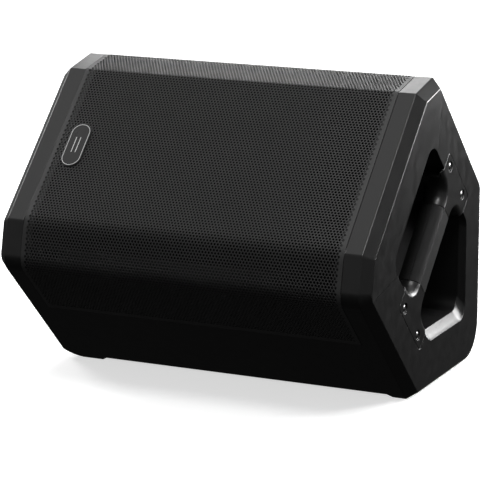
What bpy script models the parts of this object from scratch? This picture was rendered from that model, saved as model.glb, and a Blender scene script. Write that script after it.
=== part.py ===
"""Stage monitor wedge: a two-way floor loudspeaker, modelled as the pieces it comes apart into.

Sizes are in millimetres and become metres when a mesh is made. The wedge lies on Z = 0 with its long
side along X, its grille facing -Y and up at 45 degrees, and its rear face upright at +Y.

Most pieces are drawn in the FACE frame: X along the wedge, Y up the slope of the grille, Z out of it.
In that frame the cross-section is the same above and below Y = 0, so it is drawn once.
"""

import math

import bmesh
import bpy
from mathutils import Matrix, Vector

MM = 0.001
GAP = 0.3

# Cabinet, in the FACE frame. Every depth is counted back from the grille's plane.
WIDTH = 520.0
FACE_HALF = 121.45
BEVEL_RUN = 49.5
BEVEL_DROP = 31.8
FLANK = 230.8
HALF = FACE_HALF + BEVEL_RUN
BACK = BEVEL_DROP + FLANK
APEX = BACK + HALF
END_CHAMFER = 12.65
END_INSET = 12.2
SKID_HEIGHT = 4.1
END_BOTTOM_INSET = 7.7
SKID_INNER = 222.5
LEFT_SKID_INNER = 186.0
SKID_SLOPE = 6.9
LEFT_EDGE_RADIUS = 38.0
WALL = 5.0
SEAM = 51.0
CORNER_STEPS = 4

# Grille, foam and baffle.
GRILLE_HALF = 223.5
GRILLE_SINK = 0.8
GRILLE_SHEET = 1.5
GRILLE_DEPTH = BEVEL_DROP + 101.0
OPENING_HALF = 212.0
OPENING_RISE = 160.0
BAFFLE_FRONT = 38.0

# Carrying handle at the +X end, in the FACE frame.
POCKET_DEPTH = 57.0
POCKET_LOW = -91.0
POCKET_HIGH = 96.0
POCKET_FRONT = 67.3
POCKET_SHOULDER = 249.3
POCKET_WALL = 4.0
HANDLE_MIDDLE = 0.5 * (POCKET_LOW + POCKET_HIGH)
HANDLE_LENGTH = 240.0
HANDLE_FRONT = 126.3
HANDLE_REAR = 228.3
GRIP_DEPTH = 177.0
GRIP_RADIUS = 19.2
GRIP_AXIS = 15.8
GRIP_CORE = 18.0
GRIP_HALF = 58.0
TAB = 5.0
BRIDGE = GRIP_AXIS + GRIP_RADIUS
LIP = 10.0
LIP_DEEP = 13.0
SCREW_SPAN = 217.0
SCREW_FRONT = 143.5
SCREW_REAR = 208.3

# Drivers, on the baffle.
WOOFER_X = -55.0
WOOFER_RADIUS = 153.0
HORN_X = 156.0
HORN_WIDE = 108.0
HORN_TALL = 236.0
HORN_DEPTH = 72.0
DRIVER_RADIUS = 42.0
PORT_X = -186.0
PORT_Y = 134.0
PORT_RADIUS = 20.0

# Amplifier panel, let into the upright rear face.
PANEL_WIDE = 260.0
PANEL_LOW = 45.0
PANEL_HIGH = 205.0
PANEL_RECESS = 20.0
PANEL_SHEET = 2.5
LEDGE = 12.0

POLE_DEPTH = 172.0
POLE_HOLE = 18.0

FINISHES = {
    "shell": ((0.018, 0.018, 0.017), 0.48, 0.0),
    "grille": ((0.05, 0.05, 0.05), 0.55, 0.6),
    "foam": ((0.006, 0.006, 0.006), 0.95, 0.0),
    "badge": ((0.03, 0.03, 0.03), 0.3, 0.3),
    "grip": ((0.02, 0.02, 0.019), 0.6, 0.0),
    "screw": ((0.5, 0.5, 0.5), 0.25, 1.0),
    "rubber": ((0.012, 0.012, 0.012), 0.85, 0.0),
    "paper": ((0.02, 0.02, 0.022), 0.8, 0.0),
    "steel": ((0.35, 0.35, 0.36), 0.35, 1.0),
    "ferrite": ((0.04, 0.04, 0.045), 0.6, 0.0),
    "copper": ((0.6, 0.25, 0.1), 0.35, 1.0),
    "cloth": ((0.45, 0.28, 0.1), 0.85, 0.0),
    "horn": ((0.012, 0.012, 0.012), 0.35, 0.0),
    "panel": ((0.03, 0.03, 0.03), 0.5, 0.4),
    "board": ((0.02, 0.12, 0.05), 0.5, 0.0),
    "fins": ((0.6, 0.6, 0.61), 0.35, 1.0),
    "knob": ((0.015, 0.015, 0.015), 0.4, 0.0),
    "socket": ((0.012, 0.012, 0.012), 0.4, 0.0),
    "lens": ((0.02, 0.35, 0.05), 0.2, 0.0),
}


# ---------------------------------------------------------------- outlines


def offset(points, distances, closed=True):
    """Moves each side of an outline to its right by its distance, and mitres the corners."""
    count = len(points)
    sides = count if closed else count - 1
    lines = []
    for i in range(sides):
        start = Vector(points[i])
        along = (Vector(points[(i + 1) % count]) - start).normalized()
        right = Vector((along.y, -along.x))
        lines.append((start + right * distances[i], along, right))
    moved = []
    for i in range(count):
        before = lines[i - 1] if closed or i > 0 else lines[0]
        after = lines[i] if closed or i < sides else lines[-1]
        bend = before[1].cross(after[1])
        if abs(bend) < 1e-9:
            line = after if i < sides else before
            end = i if i < sides else i - 1
            shift = 0.0 if end == i else (Vector(points[i]) - Vector(points[end])).length
            moved.append(line[0] + line[1] * shift)
            continue
        reach = (after[0] - before[0]).cross(after[1]) / bend
        moved.append(before[0] + before[1] * reach)
    return [tuple(point) for point in moved]


def rounded(points, radii, closed=True, steps=CORNER_STEPS):
    """Replaces each corner by an arc of its radius; every corner gets the same number of points."""
    count = len(points)
    outline = []
    for i, (point, radius) in enumerate(zip(points, radii)):
        corner = Vector(point)
        if not closed and i in (0, count - 1):
            outline.append(tuple(corner))
            continue
        back = (Vector(points[i - 1]) - corner).normalized()
        ahead = (Vector(points[(i + 1) % count]) - corner).normalized()
        half = back.angle(ahead) / 2
        centre = corner + (back + ahead).normalized() * (radius / math.sin(half))
        first = corner + back * (radius / math.tan(half)) - centre
        last = corner + ahead * (radius / math.tan(half)) - centre
        sweep = first.angle_signed(last)
        for step in range(steps + 1):
            turn = -sweep * step / steps
            c, s = math.cos(turn), math.sin(turn)
            outline.append(
                (
                    centre.x + first.x * c - first.y * s,
                    centre.y + first.x * s + first.y * c,
                )
            )
    return outline


def rectangle(x0, x1, y0, y1, radius=0.0, steps=4):
    corners = [(x0, y0), (x1, y0), (x1, y1), (x0, y1)]
    return rounded(corners, [radius] * 4, steps=steps) if radius else corners


def circle(radius, x=0.0, y=0.0, steps=24):
    turns = [math.tau * i / steps for i in range(steps)]
    return [(x + radius * math.cos(t), y + radius * math.sin(t)) for t in turns]


# ---------------------------------------------------------------- solids

IDENTITY = Matrix()


def solid(name, vertices, faces, place=IDENTITY):
    mesh = bpy.data.meshes.new(name)
    mesh.from_pydata([Vector(v) * MM for v in vertices], [], faces)
    shape = bmesh.new()
    shape.from_mesh(mesh)
    bmesh.ops.remove_doubles(shape, verts=shape.verts, dist=1e-7)
    bmesh.ops.recalc_face_normals(shape, faces=shape.faces)
    shape.to_mesh(mesh)
    shape.free()
    thing = bpy.data.objects.new(name, mesh)
    bpy.context.scene.collection.objects.link(thing)
    thing.matrix_world = place
    return thing


def loft(name, sections, place=IDENTITY):
    """Closed solid through rings of equally many points, capped at both ends."""
    count = len(sections[0])
    vertices = [point for section in sections for point in section]
    faces = [tuple(range(count)), tuple(range(len(vertices) - count, len(vertices)))]
    for ring in range(len(sections) - 1):
        for i in range(count):
            a = ring * count + i
            b = ring * count + (i + 1) % count
            faces.append((a, b, b + count, a + count))
    return solid(name, vertices, faces, place)


def along(axis, outline, height):
    """Outline points set in space at a height along an axis; X takes (y, z), Y takes (x, z)."""
    if axis == "X":
        return [(height, a, b) for a, b in outline]
    if axis == "Y":
        return [(a, height, b) for a, b in outline]
    return [(a, b, height) for a, b in outline]


def prism(name, outline, axis, low, high, place=IDENTITY):
    return loft(name, [along(axis, outline, low), along(axis, outline, high)], place)


def block(name, x0, x1, y0, y1, z0, z1, place=IDENTITY):
    return prism(name, rectangle(x0, x1, y0, y1), "Z", z0, z1, place)


def turned(name, profile, place=IDENTITY, segments=40):
    """Closed (radius, height) outline turned about Z; a point on the axis is a single vertex."""
    vertices = []
    rings = []
    for radius, height in profile:
        start = len(vertices)
        if radius == 0:
            vertices.append((0, 0, height))
            rings.append([start] * segments)
            continue
        vertices += [(x, y, height) for x, y in circle(radius, steps=segments)]
        rings.append(list(range(start, start + segments)))
    faces = []
    for ring, following in zip(rings, rings[1:] + rings[:1]):
        for i in range(segments):
            j = (i + 1) % segments
            face = list(dict.fromkeys((ring[i], ring[j], following[j], following[i])))
            if len(face) > 2:
                faces.append(face)
    return solid(name, vertices, faces, place)


def settle(thing):
    """Turns an object's evaluated shape into its mesh."""
    graph = bpy.context.evaluated_depsgraph_get()
    mesh = bpy.data.meshes.new_from_object(thing.evaluated_get(graph))
    thing.modifiers.clear()
    thing.data = mesh


def combine(body, operation, tools):
    for tool in tools:
        modifier = body.modifiers.new(operation.lower(), "BOOLEAN")
        modifier.operation = operation
        modifier.solver = "EXACT"
        modifier.object = tool
        settle(body)
        bpy.data.objects.remove(tool)
    return body


def cut(body, *tools):
    return combine(body, "DIFFERENCE", tools)


def join(body, *tools):
    return combine(body, "UNION", tools)


def keep(body, *tools):
    return combine(body, "INTERSECT", tools)


def finish(thing, look, smooth_below=32.0):
    """Gives a piece its own material and smooth shading across shallow edges."""
    colour, roughness, metallic = FINISHES[look]
    material = bpy.data.materials.new(thing.name)
    material.use_nodes = True
    shader = material.node_tree.nodes["Principled BSDF"]
    shader.inputs["Base Color"].default_value = (*colour, 1.0)
    shader.inputs["Roughness"].default_value = roughness
    shader.inputs["Metallic"].default_value = metallic
    thing.data.materials.clear()
    thing.data.materials.append(material)
    thing.data.shade_smooth()
    thing.data.set_sharp_from_angle(angle=math.radians(smooth_below))
    return thing


# ---------------------------------------------------------------- cross-section and frames

# Corners of the cross-section in (Y, Z) of the FACE frame, from the top front corner round the back.
CORNERS = [
    (FACE_HALF, 0.0),
    (HALF, -BEVEL_DROP),
    (HALF, -BACK),
    (0.0, -APEX),
    (-HALF, -BACK),
    (-HALF, -BEVEL_DROP),
    (-FACE_HALF, 0.0),
]
RADII = [3.0, 3.0, 19.0, 31.0, 2.0, 26.0, 8.0]
END_RADII = [3.0, 3.0, 15.0, 45.0, 3.0, 14.0, 5.0]
BOTTOM_SIDE = 3


def inset_section(inset, bottom_inset, radii=RADII):
    distances = [inset] * len(CORNERS)
    distances[BOTTOM_SIDE] = bottom_inset
    return rounded(offset(CORNERS, distances), radii)


def face_frame():
    """Grille plane's middle: the wedge's outline is centred on Y = 0 and touches Z = 0."""
    slope = math.radians(45)
    sine = math.sin(slope)
    spread = [sine * (y - z) for y, z in inset_section(0.0, 0.0)]
    middle = -0.5 * (min(spread) + max(spread))
    return Matrix.Translation(Vector((0, middle, APEX * sine)) * MM) @ Matrix.Rotation(slope, 4, "X")


FACE = face_frame()
REAR_Y = FACE.translation.y / MM + APEX * math.sin(math.radians(45))
BEHIND = Matrix.Rotation(math.pi, 4, "Z") @ Matrix.Rotation(math.radians(90), 4, "X")


def face_place(x, y, depth):
    return FACE @ Matrix.Translation(Vector((x, y, -depth)) * MM)


def panel_place(x, z, y=REAR_Y - PANEL_RECESS):
    """A spot on the amplifier panel: local Z points out of the rear, local Y up."""
    return Matrix.Translation(Vector((x, y, z)) * MM) @ BEHIND


def end_place(depth, x, y=0.0):
    """A spot on an end face: local Z points along world -X."""
    return face_place(x, y, depth) @ Matrix.Rotation(math.radians(-90), 4, "Y")


# ---------------------------------------------------------------- cabinet


def cabinet_block():
    """The full outside: an end face, a chamfer, a skid, and the raised belly between the skids."""
    end = inset_section(END_INSET, END_BOTTOM_INSET, END_RADII)
    full = inset_section(0.0, 0.0)
    belly = inset_section(0.0, SKID_HEIGHT)
    half = WIDTH / 2
    stations = [
        (half, end),
        (half - END_CHAMFER, full),
    ]
    left = [(LEFT_SKID_INNER + SKID_SLOPE, full), (LEFT_SKID_INNER, belly)]
    right = [(SKID_INNER + SKID_SLOPE, full), (SKID_INNER, belly)]
    sections = [along("X", outline, -x) for x, outline in stations + left]
    sections += [along("X", outline, x) for x, outline in reversed(stations + right)]
    return loft("cabinet", sections, FACE)


def cabinet_cavity(wall=WALL):
    half = WIDTH / 2
    end = inset_section(END_INSET + wall, END_INSET + wall, END_RADII)
    middle = inset_section(wall, SKID_HEIGHT + wall)
    stations = [(half - wall, end), (half - wall - END_CHAMFER, middle)]
    sections = [along("X", outline, -x) for x, outline in stations]
    sections += [along("X", outline, x) for x, outline in reversed(stations)]
    return loft("cavity", sections, FACE)


def left_edge_cutter():
    """What the large rounding takes off the bottom edge of the -X end."""
    reach = 40.0
    centre = (-WIDTH / 2 + 2 + LEFT_EDGE_RADIUS, LEFT_EDGE_RADIUS)
    turns = [math.radians(180 + 90 * i / 8) for i in range(9)]
    arc = [
        (
            centre[0] + LEFT_EDGE_RADIUS * math.cos(t),
            centre[1] + LEFT_EDGE_RADIUS * math.sin(t),
        )
        for t in turns
    ]
    outline = arc + [(centre[0], -reach), (arc[0][0] - reach, -reach), (arc[0][0] - reach, centre[1])]
    return prism("left_edge", outline, "Y", -300, 300)


def grille_band(outer, inner, depth):
    """Section of a sheet bent round the front: over the face, both bevels and down the flanks."""
    path = [
        (HALF, -depth),
        (HALF, -BEVEL_DROP),
        (FACE_HALF, 0.0),
        (-FACE_HALF, 0.0),
        (-HALF, -BEVEL_DROP),
        (-HALF, -depth),
    ]
    radii = [0.0, 3.0, 3.0, 8.0, 26.0, 0.0]
    sides = len(path) - 1
    outside = rounded(offset(path, [-outer] * sides, False), radii, False)
    inside = rounded(offset(path, [-inner] * sides, False), radii, False)
    return outside + inside[::-1]


def pocket_outline(inset=0.0, bottom=0.0, rear=0.0):
    """Mouth of the handle pocket: square towards the grille, pointed towards the wedge's rear."""
    point = 0.5 * (POCKET_HIGH - POCKET_LOW)
    corners = [
        (POCKET_HIGH, -POCKET_FRONT),
        (POCKET_HIGH, -POCKET_SHOULDER),
        (HANDLE_MIDDLE, -POCKET_SHOULDER - point),
        (POCKET_LOW, -POCKET_SHOULDER),
        (POCKET_LOW, -POCKET_FRONT),
    ]
    distances = [inset, inset + rear, inset + bottom, inset, inset]
    return rounded(offset(corners, distances), [22.0, 24.0, 20.0, 24.0, 22.0])


def handle_pocket():
    half = WIDTH / 2
    sections = [
        along("X", pocket_outline(), half + 5),
        along("X", pocket_outline(), half),
        along("X", pocket_outline(bottom=12.0, rear=3.0), half - 11),
        along("X", pocket_outline(inset=1.0, bottom=12.0, rear=3.0), half - POCKET_DEPTH),
    ]
    return loft("pocket", sections, FACE)


def pocket_tub():
    half = WIDTH / 2
    outline = pocket_outline(-POCKET_WALL)
    return prism("tub", outline, "X", half - POCKET_DEPTH - POCKET_WALL, half - 2, FACE)


def handle_outline(grow=0.0):
    middle = HANDLE_MIDDLE
    half = HANDLE_LENGTH / 2 + grow
    return rectangle(
        middle - half, middle + half, -HANDLE_REAR - grow, -HANDLE_FRONT + grow, 6.0 + grow
    )


def screw_spots():
    for y in (HANDLE_MIDDLE - SCREW_SPAN / 2, HANDLE_MIDDLE + SCREW_SPAN / 2):
        for depth in (SCREW_FRONT, SCREW_REAR):
            yield y, depth


def front_region(grow):
    """Everything in front of the shells' seam, which dips behind the handle's finger slot."""
    slab = block("front_region", -300, 300, -300, 300, -SEAM - grow, 60, FACE)
    outline = [
        (HALF - 12.0 + grow, -SEAM + 5),
        (POCKET_HIGH + 9.0 + grow, -88.0 - grow),
        (POCKET_LOW - 4.0 - grow, -88.0 - grow),
        (-HALF + 16.0 - grow, -SEAM + 5),
    ]
    start = WIDTH / 2 - POCKET_DEPTH - POCKET_WALL - 1 - grow
    return join(slab, prism("tongue", outline, "X", start, 300, FACE))


def panel_tub():
    half = PANEL_WIDE / 2 + POCKET_WALL
    low = PANEL_LOW - POCKET_WALL
    high = PANEL_HIGH + POCKET_WALL
    deep = REAR_Y - PANEL_RECESS - 6
    return block("panel_tub", -half, half, deep, REAR_Y - 2, low, high)


def panel_cutters():
    half = PANEL_WIDE / 2
    floor = REAR_Y - PANEL_RECESS - PANEL_SHEET - GAP
    recess = block("recess", -half, half, floor, REAR_Y + 9, PANEL_LOW, PANEL_HIGH)
    low = PANEL_LOW + LEDGE
    high = PANEL_HIGH - LEDGE
    through = block("through", -half + LEDGE, half - LEDGE, floor - 30, REAR_Y, low, high)
    return recess, through


def foot_spots():
    for x in (-LEFT_SKID_INNER - 20.5, SKID_INNER + 15.4):
        for y in (-8.0, 140.0):
            yield x, y


def foot_cutters():
    for i, (x, y) in enumerate(foot_spots()):
        pocket = rectangle(x - 7.5 - GAP, x + 7.5 + GAP, y - 22 - GAP, y + 22 + GAP, 7.0)
        yield prism(f"foot_pocket_{i}", pocket, "Z", -5, 3.0 + GAP)


def shells():
    """Front moulding, with its baffle, and rear moulding, with the handle pocket and the skids."""
    cabinet = cut(cabinet_block(), left_edge_cutter(), cabinet_cavity())
    boss = prism("boss", circle(52, 0, -POLE_DEPTH, 30), "X", -WIDTH / 2 + 2, -WIDTH / 2 + 14, FACE)
    seat = prism("seat", handle_outline(4.0), "X", 244, 257, FACE)
    join(cabinet, pocket_tub(), seat, panel_tub(), boss)
    half = GRILLE_HALF + GAP
    band = grille_band(-12.0, GRILLE_SINK + GRILLE_SHEET + GAP, GRILLE_DEPTH + GAP)
    cut(cabinet, handle_pocket(), prism("grille_step", band, "X", -half, half, FACE))
    recess = handle_outline(GAP)
    cut(cabinet, prism("tab_recess", recess, "X", WIDTH / 2 - TAB - GAP, 270, FACE))
    for y, depth in screw_spots():
        hole = [(0, 0), (2.3, 0), (2.3, 20), (0, 20)]
        cut(cabinet, turned("pilot", hole, end_place(depth, WIDTH / 2 - TAB + 2, y), 16))
    cut(cabinet, *panel_cutters())
    rim = [(0, -9), (45 + GAP, -9), (45 + GAP, 4 + GAP), (22 + GAP, 4 + GAP), (22 + GAP, 30), (0, 30)]
    rim = [(radius, -height) for radius, height in rim]
    cut(cabinet, turned("pole_hole", rim, end_place(POLE_DEPTH, -WIDTH / 2)))
    cut(cabinet, *foot_cutters())
    front = cabinet.copy()
    front.data = cabinet.data.copy()
    front.name = "front_shell"
    bpy.context.scene.collection.objects.link(front)
    keep(front, front_region(0.0))
    join(front, baffle_plate())
    cut(front, *baffle_cutters())
    cabinet.name = "rear_shell"
    cut(cabinet, front_region(GAP))
    finish(front, "shell")
    finish(cabinet, "shell")


def baffle_plate():
    """Slab across the cavity, its edges let 1.5 mm into the walls."""
    slab = block("plate", -300, 300, -300, 300, -SEAM, -BAFFLE_FRONT, FACE)
    return keep(slab, cabinet_cavity(WALL - 1.5))


def baffle_cutters():
    """Front well, and the holes for the woofer, the horn and both ports."""
    mouth = rectangle(-OPENING_HALF, OPENING_HALF, -OPENING_RISE, OPENING_RISE, 8.0)
    yield prism("well", mouth, "Z", -BAFFLE_FRONT, 40, FACE)
    yield prism("woofer_hole", circle(WOOFER_RADIUS - 14, steps=48), "Z", -9, 30,
                face_place(WOOFER_X, 0, SEAM + 8))
    wide = HORN_WIDE / 2 - 6
    tall = HORN_TALL / 2 - 6
    yield prism("horn_hole", rectangle(-wide, wide, -tall, tall, 6.0), "Z", -9, 30,
                face_place(HORN_X, 0, SEAM + 8))
    for y in (-PORT_Y, PORT_Y):
        yield prism("port_hole", circle(PORT_RADIUS + GAP), "Z", -9, 30,
                    face_place(PORT_X, y, SEAM + 8))


def grille_and_foam():
    band = grille_band(GRILLE_SINK, GRILLE_SINK + GRILLE_SHEET, GRILLE_DEPTH)
    finish(prism("grille", band, "X", -GRILLE_HALF, GRILLE_HALF, FACE), "grille")
    behind = GRILLE_SINK + GRILLE_SHEET + GAP
    path = [
        (FACE_HALF + 26.0, -BEVEL_DROP * 26.0 / BEVEL_RUN),
        (FACE_HALF, 0.0),
        (-FACE_HALF, 0.0),
        (-FACE_HALF - 26.0, -BEVEL_DROP * 26.0 / BEVEL_RUN),
    ]
    outside = rounded(offset(path, [-behind] * 3, False), [0, 3, 8, 0], False)
    inside = rounded(offset(path, [-behind - 5.0] * 3, False), [0, 3, 8, 0], False)
    edge = OPENING_HALF - 2
    finish(prism("grille_foam", outside + inside[::-1], "X", -edge, edge, FACE), "foam")


def badge():
    """Plain oval plate standing on the grille near its -X end."""
    outline = rectangle(-15, 15, -34, 34, 14.9, steps=8)
    place = face_place(-192, 0, GRILLE_SINK - GAP)
    plate = loft(
        "badge",
        [
            along("Z", outline, 0),
            along("Z", outline, 1.6),
            along("Z", [(x * 0.94, y * 0.97) for x, y in outline], 2.4),
        ],
        place,
    )
    finish(plate, "badge")


# ---------------------------------------------------------------- handle


def bar_half(x):
    """Half the round bar's width at a height along X; its flat face lies in the end face."""
    from_axis = x - (WIDTH / 2 - GRIP_AXIS)
    return math.sqrt(max(0.0, GRIP_RADIUS**2 - from_axis**2))


def bar_section(steps=20):
    """Section of the bar, from one edge of its flat face round the back to the other."""
    edge = math.acos(GRIP_AXIS / GRIP_RADIUS)
    turns = [edge + (math.tau - 2 * edge) * i / steps for i in range(steps + 1)]
    axis = WIDTH / 2 - GRIP_AXIS
    return [(axis + GRIP_RADIUS * math.cos(t), -GRIP_DEPTH + GRIP_RADIUS * math.sin(t)) for t in turns]


def notch_outline(near, far, radius, grow):
    """Finger opening between the bar and the tab's edge; grow moves it towards its mouth's size."""
    low = POCKET_LOW + 0.5 + LIP - grow
    high = POCKET_HIGH - 0.5 - LIP + grow
    return rectangle(low, high, -max(near, far), -min(near, far), radius - LIP + grow, steps=6)


def notch(side, far, radius, steps=10):
    """One of the two finger openings beside the bar; its ends flare out in a round lip."""
    end = WIDTH / 2
    edge = math.acos(GRIP_AXIS / GRIP_RADIUS)
    heights = [end - BRIDGE - 20]
    for i in range(steps + 1):
        turn = math.pi + (edge - math.pi) * i / steps
        heights.append(end - GRIP_AXIS + GRIP_RADIUS * math.cos(turn))
    heights.append(end + 20)
    sections = []
    for x in heights:
        share = min(1.0, max(0.0, (x - end + LIP_DEEP) / LIP_DEEP))
        near = GRIP_DEPTH + side * bar_half(min(x, end))
        outline = notch_outline(near, far, radius, LIP * (1 - math.sqrt(1 - share**2)))
        sections.append(along("X", outline, x))
    return loft("notch", sections, FACE)


def handle():
    end = WIDTH / 2
    bracket = prism("handle_bracket", handle_outline(), "X", end - TAB, end, FACE)
    bridge = rectangle(POCKET_LOW + 2, POCKET_HIGH - 2, -HANDLE_REAR + 6, -HANDLE_FRONT - 6, 4.0)
    join(bracket, prism("bridge", bridge, "X", end - BRIDGE, end - 1, FACE))
    cut(bracket, notch(-1, 60.0, 30.0), notch(1, 290.0, 28.0))
    sleeve = GRIP_HALF + GAP
    middle = HANDLE_MIDDLE
    axis = end - GRIP_AXIS
    core = rectangle(-GRIP_CORE / 2, GRIP_CORE / 2, -GRIP_CORE / 2, GRIP_CORE / 2)
    core = [(axis + x, z - GRIP_DEPTH) for x, z in core]
    reach = GRIP_RADIUS + 2
    waist = block(
        "waist",
        axis - reach,
        axis + reach,
        middle - sleeve,
        middle + sleeve,
        -GRIP_DEPTH - reach,
        -GRIP_DEPTH + reach,
        FACE,
    )
    cut(waist, prism("core", core, "Y", middle - 90, middle + 90, FACE))
    cut(bracket, waist)
    for y, depth in screw_spots():
        hole = [(0, -3), (6.8, -3), (6.8, 2.6), (2.6, 2.6), (2.6, 9), (0, 9)]
        cut(bracket, turned("bore", hole, end_place(depth, end, y), 18))
    finish(bracket, "shell")
    grip = prism("handle_grip", bar_section(), "Y", middle - GRIP_HALF, middle + GRIP_HALF, FACE)
    wide = GRIP_CORE / 2 + GAP
    bore = rectangle(axis - wide, axis + wide, -GRIP_DEPTH - wide, -GRIP_DEPTH + wide)
    cut(grip, prism("grip_bore", bore, "Y", middle - 90, middle + 90, FACE))
    finish(grip, "grip")
    for i, (y, depth) in enumerate(screw_spots(), 1):
        handle_screw(f"handle_screw_{i}", end_place(depth, end - 0.1, y))


def handle_screw(name, place):
    """Cross-head pan screw; its axis runs into the wedge."""
    profile = [(0, 0), (2.6, 0.25), (4.3, 1.1), (4.8, 2.1), (4.8, 2.4), (2.0, 2.4), (2.0, 11), (0, 12)]
    screw = turned(name, profile, place, 14)
    for turn in (0, 90):
        spin = place @ Matrix.Rotation(math.radians(turn + 20), 4, "Z")
        cut(screw, block("slot", -2.6, 2.6, -0.45, 0.45, -1, 1.5, spin))
    finish(screw, "screw")


# ---------------------------------------------------------------- woofer


def woofer():
    """Twelve-inch driver; local Z points out of the grille and Z = 0 is the baffle's front."""
    place = face_place(WOOFER_X, 0, BAFFLE_FRONT)
    rim = WOOFER_RADIUS
    wall = [(rim, GAP), (rim, 5.5), (rim - 17, 5.5), (rim - 17, 1), (80, -78), (39, -78), (39, -82),
            (82, -82), (rim - 15, -2), (rim - 15, GAP)]
    frame = turned("woofer_frame", wall, place, 36)
    for i in range(6):
        spin = place @ Matrix.Rotation(math.radians(60 * i), 4, "Z")
        window = [(90, -28), (125, -38), (125, 38), (90, 28)]
        cut(frame, prism("window", window, "Z", -52, -12, spin))
    finish(frame, "steel")
    roll = [(rim - 19 - 9 + 9 * math.cos(math.radians(a)), 5.9 + 8 * math.sin(math.radians(a)))
            for a in range(0, 181, 45)]
    under = [(rim - 28 + (r - rim + 28) * 0.88, 5.9 + (z - 5.9) * 0.86) for r, z in roll[::-1]]
    surround = [(rim - 3, 5.8), (rim - 3, 6.8), *roll, (rim - 43, 6.9), (rim - 43, 5.9), *under,
                (rim - 20, 5.8)]
    finish(turned("woofer_surround", surround, place, 36), "rubber")
    mouth = rim - 36
    cone = [(mouth, 5.5), (mouth - 6, 5.5), (68, -26), (39, -44), (37.5, -44), (37.5, -46), (40, -46),
            (69, -28.2), (mouth - 4, 3.6), (mouth, 4.2)]
    finish(turned("woofer_cone", cone, place, 36), "paper")
    turns = [math.radians(a) for a in range(0, 91, 18)]
    dome = [(46 * math.cos(t), -37.4 + 17 * math.sin(t)) for t in turns]
    shell = [(r * 0.97, z - 1.1) for r, z in dome[::-1]]
    dome[-1] = (0, dome[-1][1])
    shell[0] = (0, shell[0][1])
    finish(turned("woofer_dust_cap", dome + shell, place, 24), "paper")
    coil = [(37.2, -44.5), (36.0, -44.5), (36.0, -92), (37.2, -92)]
    finish(turned("woofer_voice_coil", coil, place, 24), "copper")
    waves = [(43 + 7 * i, -62 + (2.0 if i % 2 else -2.0)) for i in range(7)]
    waves = [(37.6, -62), *waves, (90.2, -62)]
    finish(turned("woofer_spider", waves + [(r, z - 0.9) for r, z in waves[::-1]], place, 24), "cloth")
    plate = [(38.6, -82.3), (70, -82.3), (70, -90), (38.6, -90)]
    finish(turned("woofer_top_plate", plate, place, 24), "steel")
    magnet = [(45, -90.3), (78, -90.3), (78, -112), (45, -112)]
    finish(turned("woofer_magnet", magnet, place, 28), "ferrite")
    yoke = [(10, -80), (34.5, -80), (34.5, -112.3), (72, -112.3), (72, -120), (10, -120)]
    finish(turned("woofer_yoke", yoke, place, 24), "steel")


# ---------------------------------------------------------------- horn and ports


def horn_sections(shrink, front, back, steps=6):
    """Rings from a rounded rectangle at the mouth to a circle at the throat."""
    count = 4 * 5
    sections = []
    for step in range(steps + 1):
        t = step / steps
        depth = front + (back - front) * t
        flare = (1 - t) ** 1.7
        wide = 18 + (HORN_WIDE / 2 - 8 - 18) * flare - shrink
        tall = 18 + (HORN_TALL / 2 - 8 - 18) * flare - shrink
        power = 2 + 5 * (1 - t)
        ring = []
        for i in range(count):
            turn = math.tau * (i + 0.5) / count
            c, s = math.cos(turn), math.sin(turn)
            ring.append(
                (
                    wide * math.copysign(abs(c) ** (2 / power), c),
                    tall * math.copysign(abs(s) ** (2 / power), s),
                    -depth,
                )
            )
        sections.append(ring)
    return sections


def horn():
    place = face_place(HORN_X, 0, BAFFLE_FRONT)
    outline = rectangle(-HORN_WIDE / 2, HORN_WIDE / 2, -HORN_TALL / 2, HORN_TALL / 2, 9.0)
    flare = prism("horn", outline, "Z", GAP, 5, place)
    join(flare, loft("flare", horn_sections(0.0, -2.0, HORN_DEPTH), place))
    seat = [(0, -HORN_DEPTH + 4), (40, -HORN_DEPTH + 4), (40, -HORN_DEPTH), (0, -HORN_DEPTH)]
    throat = turned("throat", seat, place, 32)
    join(flare, throat)
    cut(flare, loft("air", horn_sections(3.0, -6.0, HORN_DEPTH + 2), place))
    finish(flare, "horn")
    rear = face_place(HORN_X, 0, BAFFLE_FRONT + HORN_DEPTH + GAP)
    radius = DRIVER_RADIUS
    plate = [(14, 0), (radius - 4, 0), (radius - 4, -6), (27, -6), (14, -4)]
    finish(turned("horn_driver_plate", plate, rear, 24), "steel")
    turns = [math.radians(a) for a in range(0, 91, 30)]
    dome = [(22 * math.cos(t), -27.6 - 7 * math.sin(t)) for t in turns]
    inner = [(r * 0.96, z + 0.6) for r, z in dome[::-1]]
    dome[-1] = (0, dome[-1][1])
    inner[0] = (0, inner[0][1])
    ring = [(31.5, -27.0), (31.5, -27.6)]
    finish(turned("horn_diaphragm", ring + dome + inner, rear, 18), "steel")
    magnet = [(30, -6 - GAP), (radius, -6 - GAP), (radius, -26), (30, -26)]
    finish(turned("horn_driver_magnet", magnet, rear, 24), "ferrite")
    lip = -26 - GAP
    cover = [(33, lip), (radius - 3, lip), (radius - 3, -40), (radius - 8, -46)]
    cover += [(0, -46), (0, -42), (33, -42)]
    finish(turned("horn_driver_cover", cover, rear, 24), "horn")


def ports():
    for name, y in (("port_tube_lower", -PORT_Y), ("port_tube_upper", PORT_Y)):
        place = face_place(PORT_X, y, BAFFLE_FRONT)
        radius = PORT_RADIUS
        tube = [(radius + 3.5, GAP), (radius + 3.5, 2.5), (radius - 1.5, 2.5), (radius - 2.5, -1),
                (radius - 2.5, -78), (radius - 0.3, -78), (radius - 0.3, GAP)]
        finish(turned(name, tube, place, 24), "horn")


# ---------------------------------------------------------------- pole socket and feet


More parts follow.
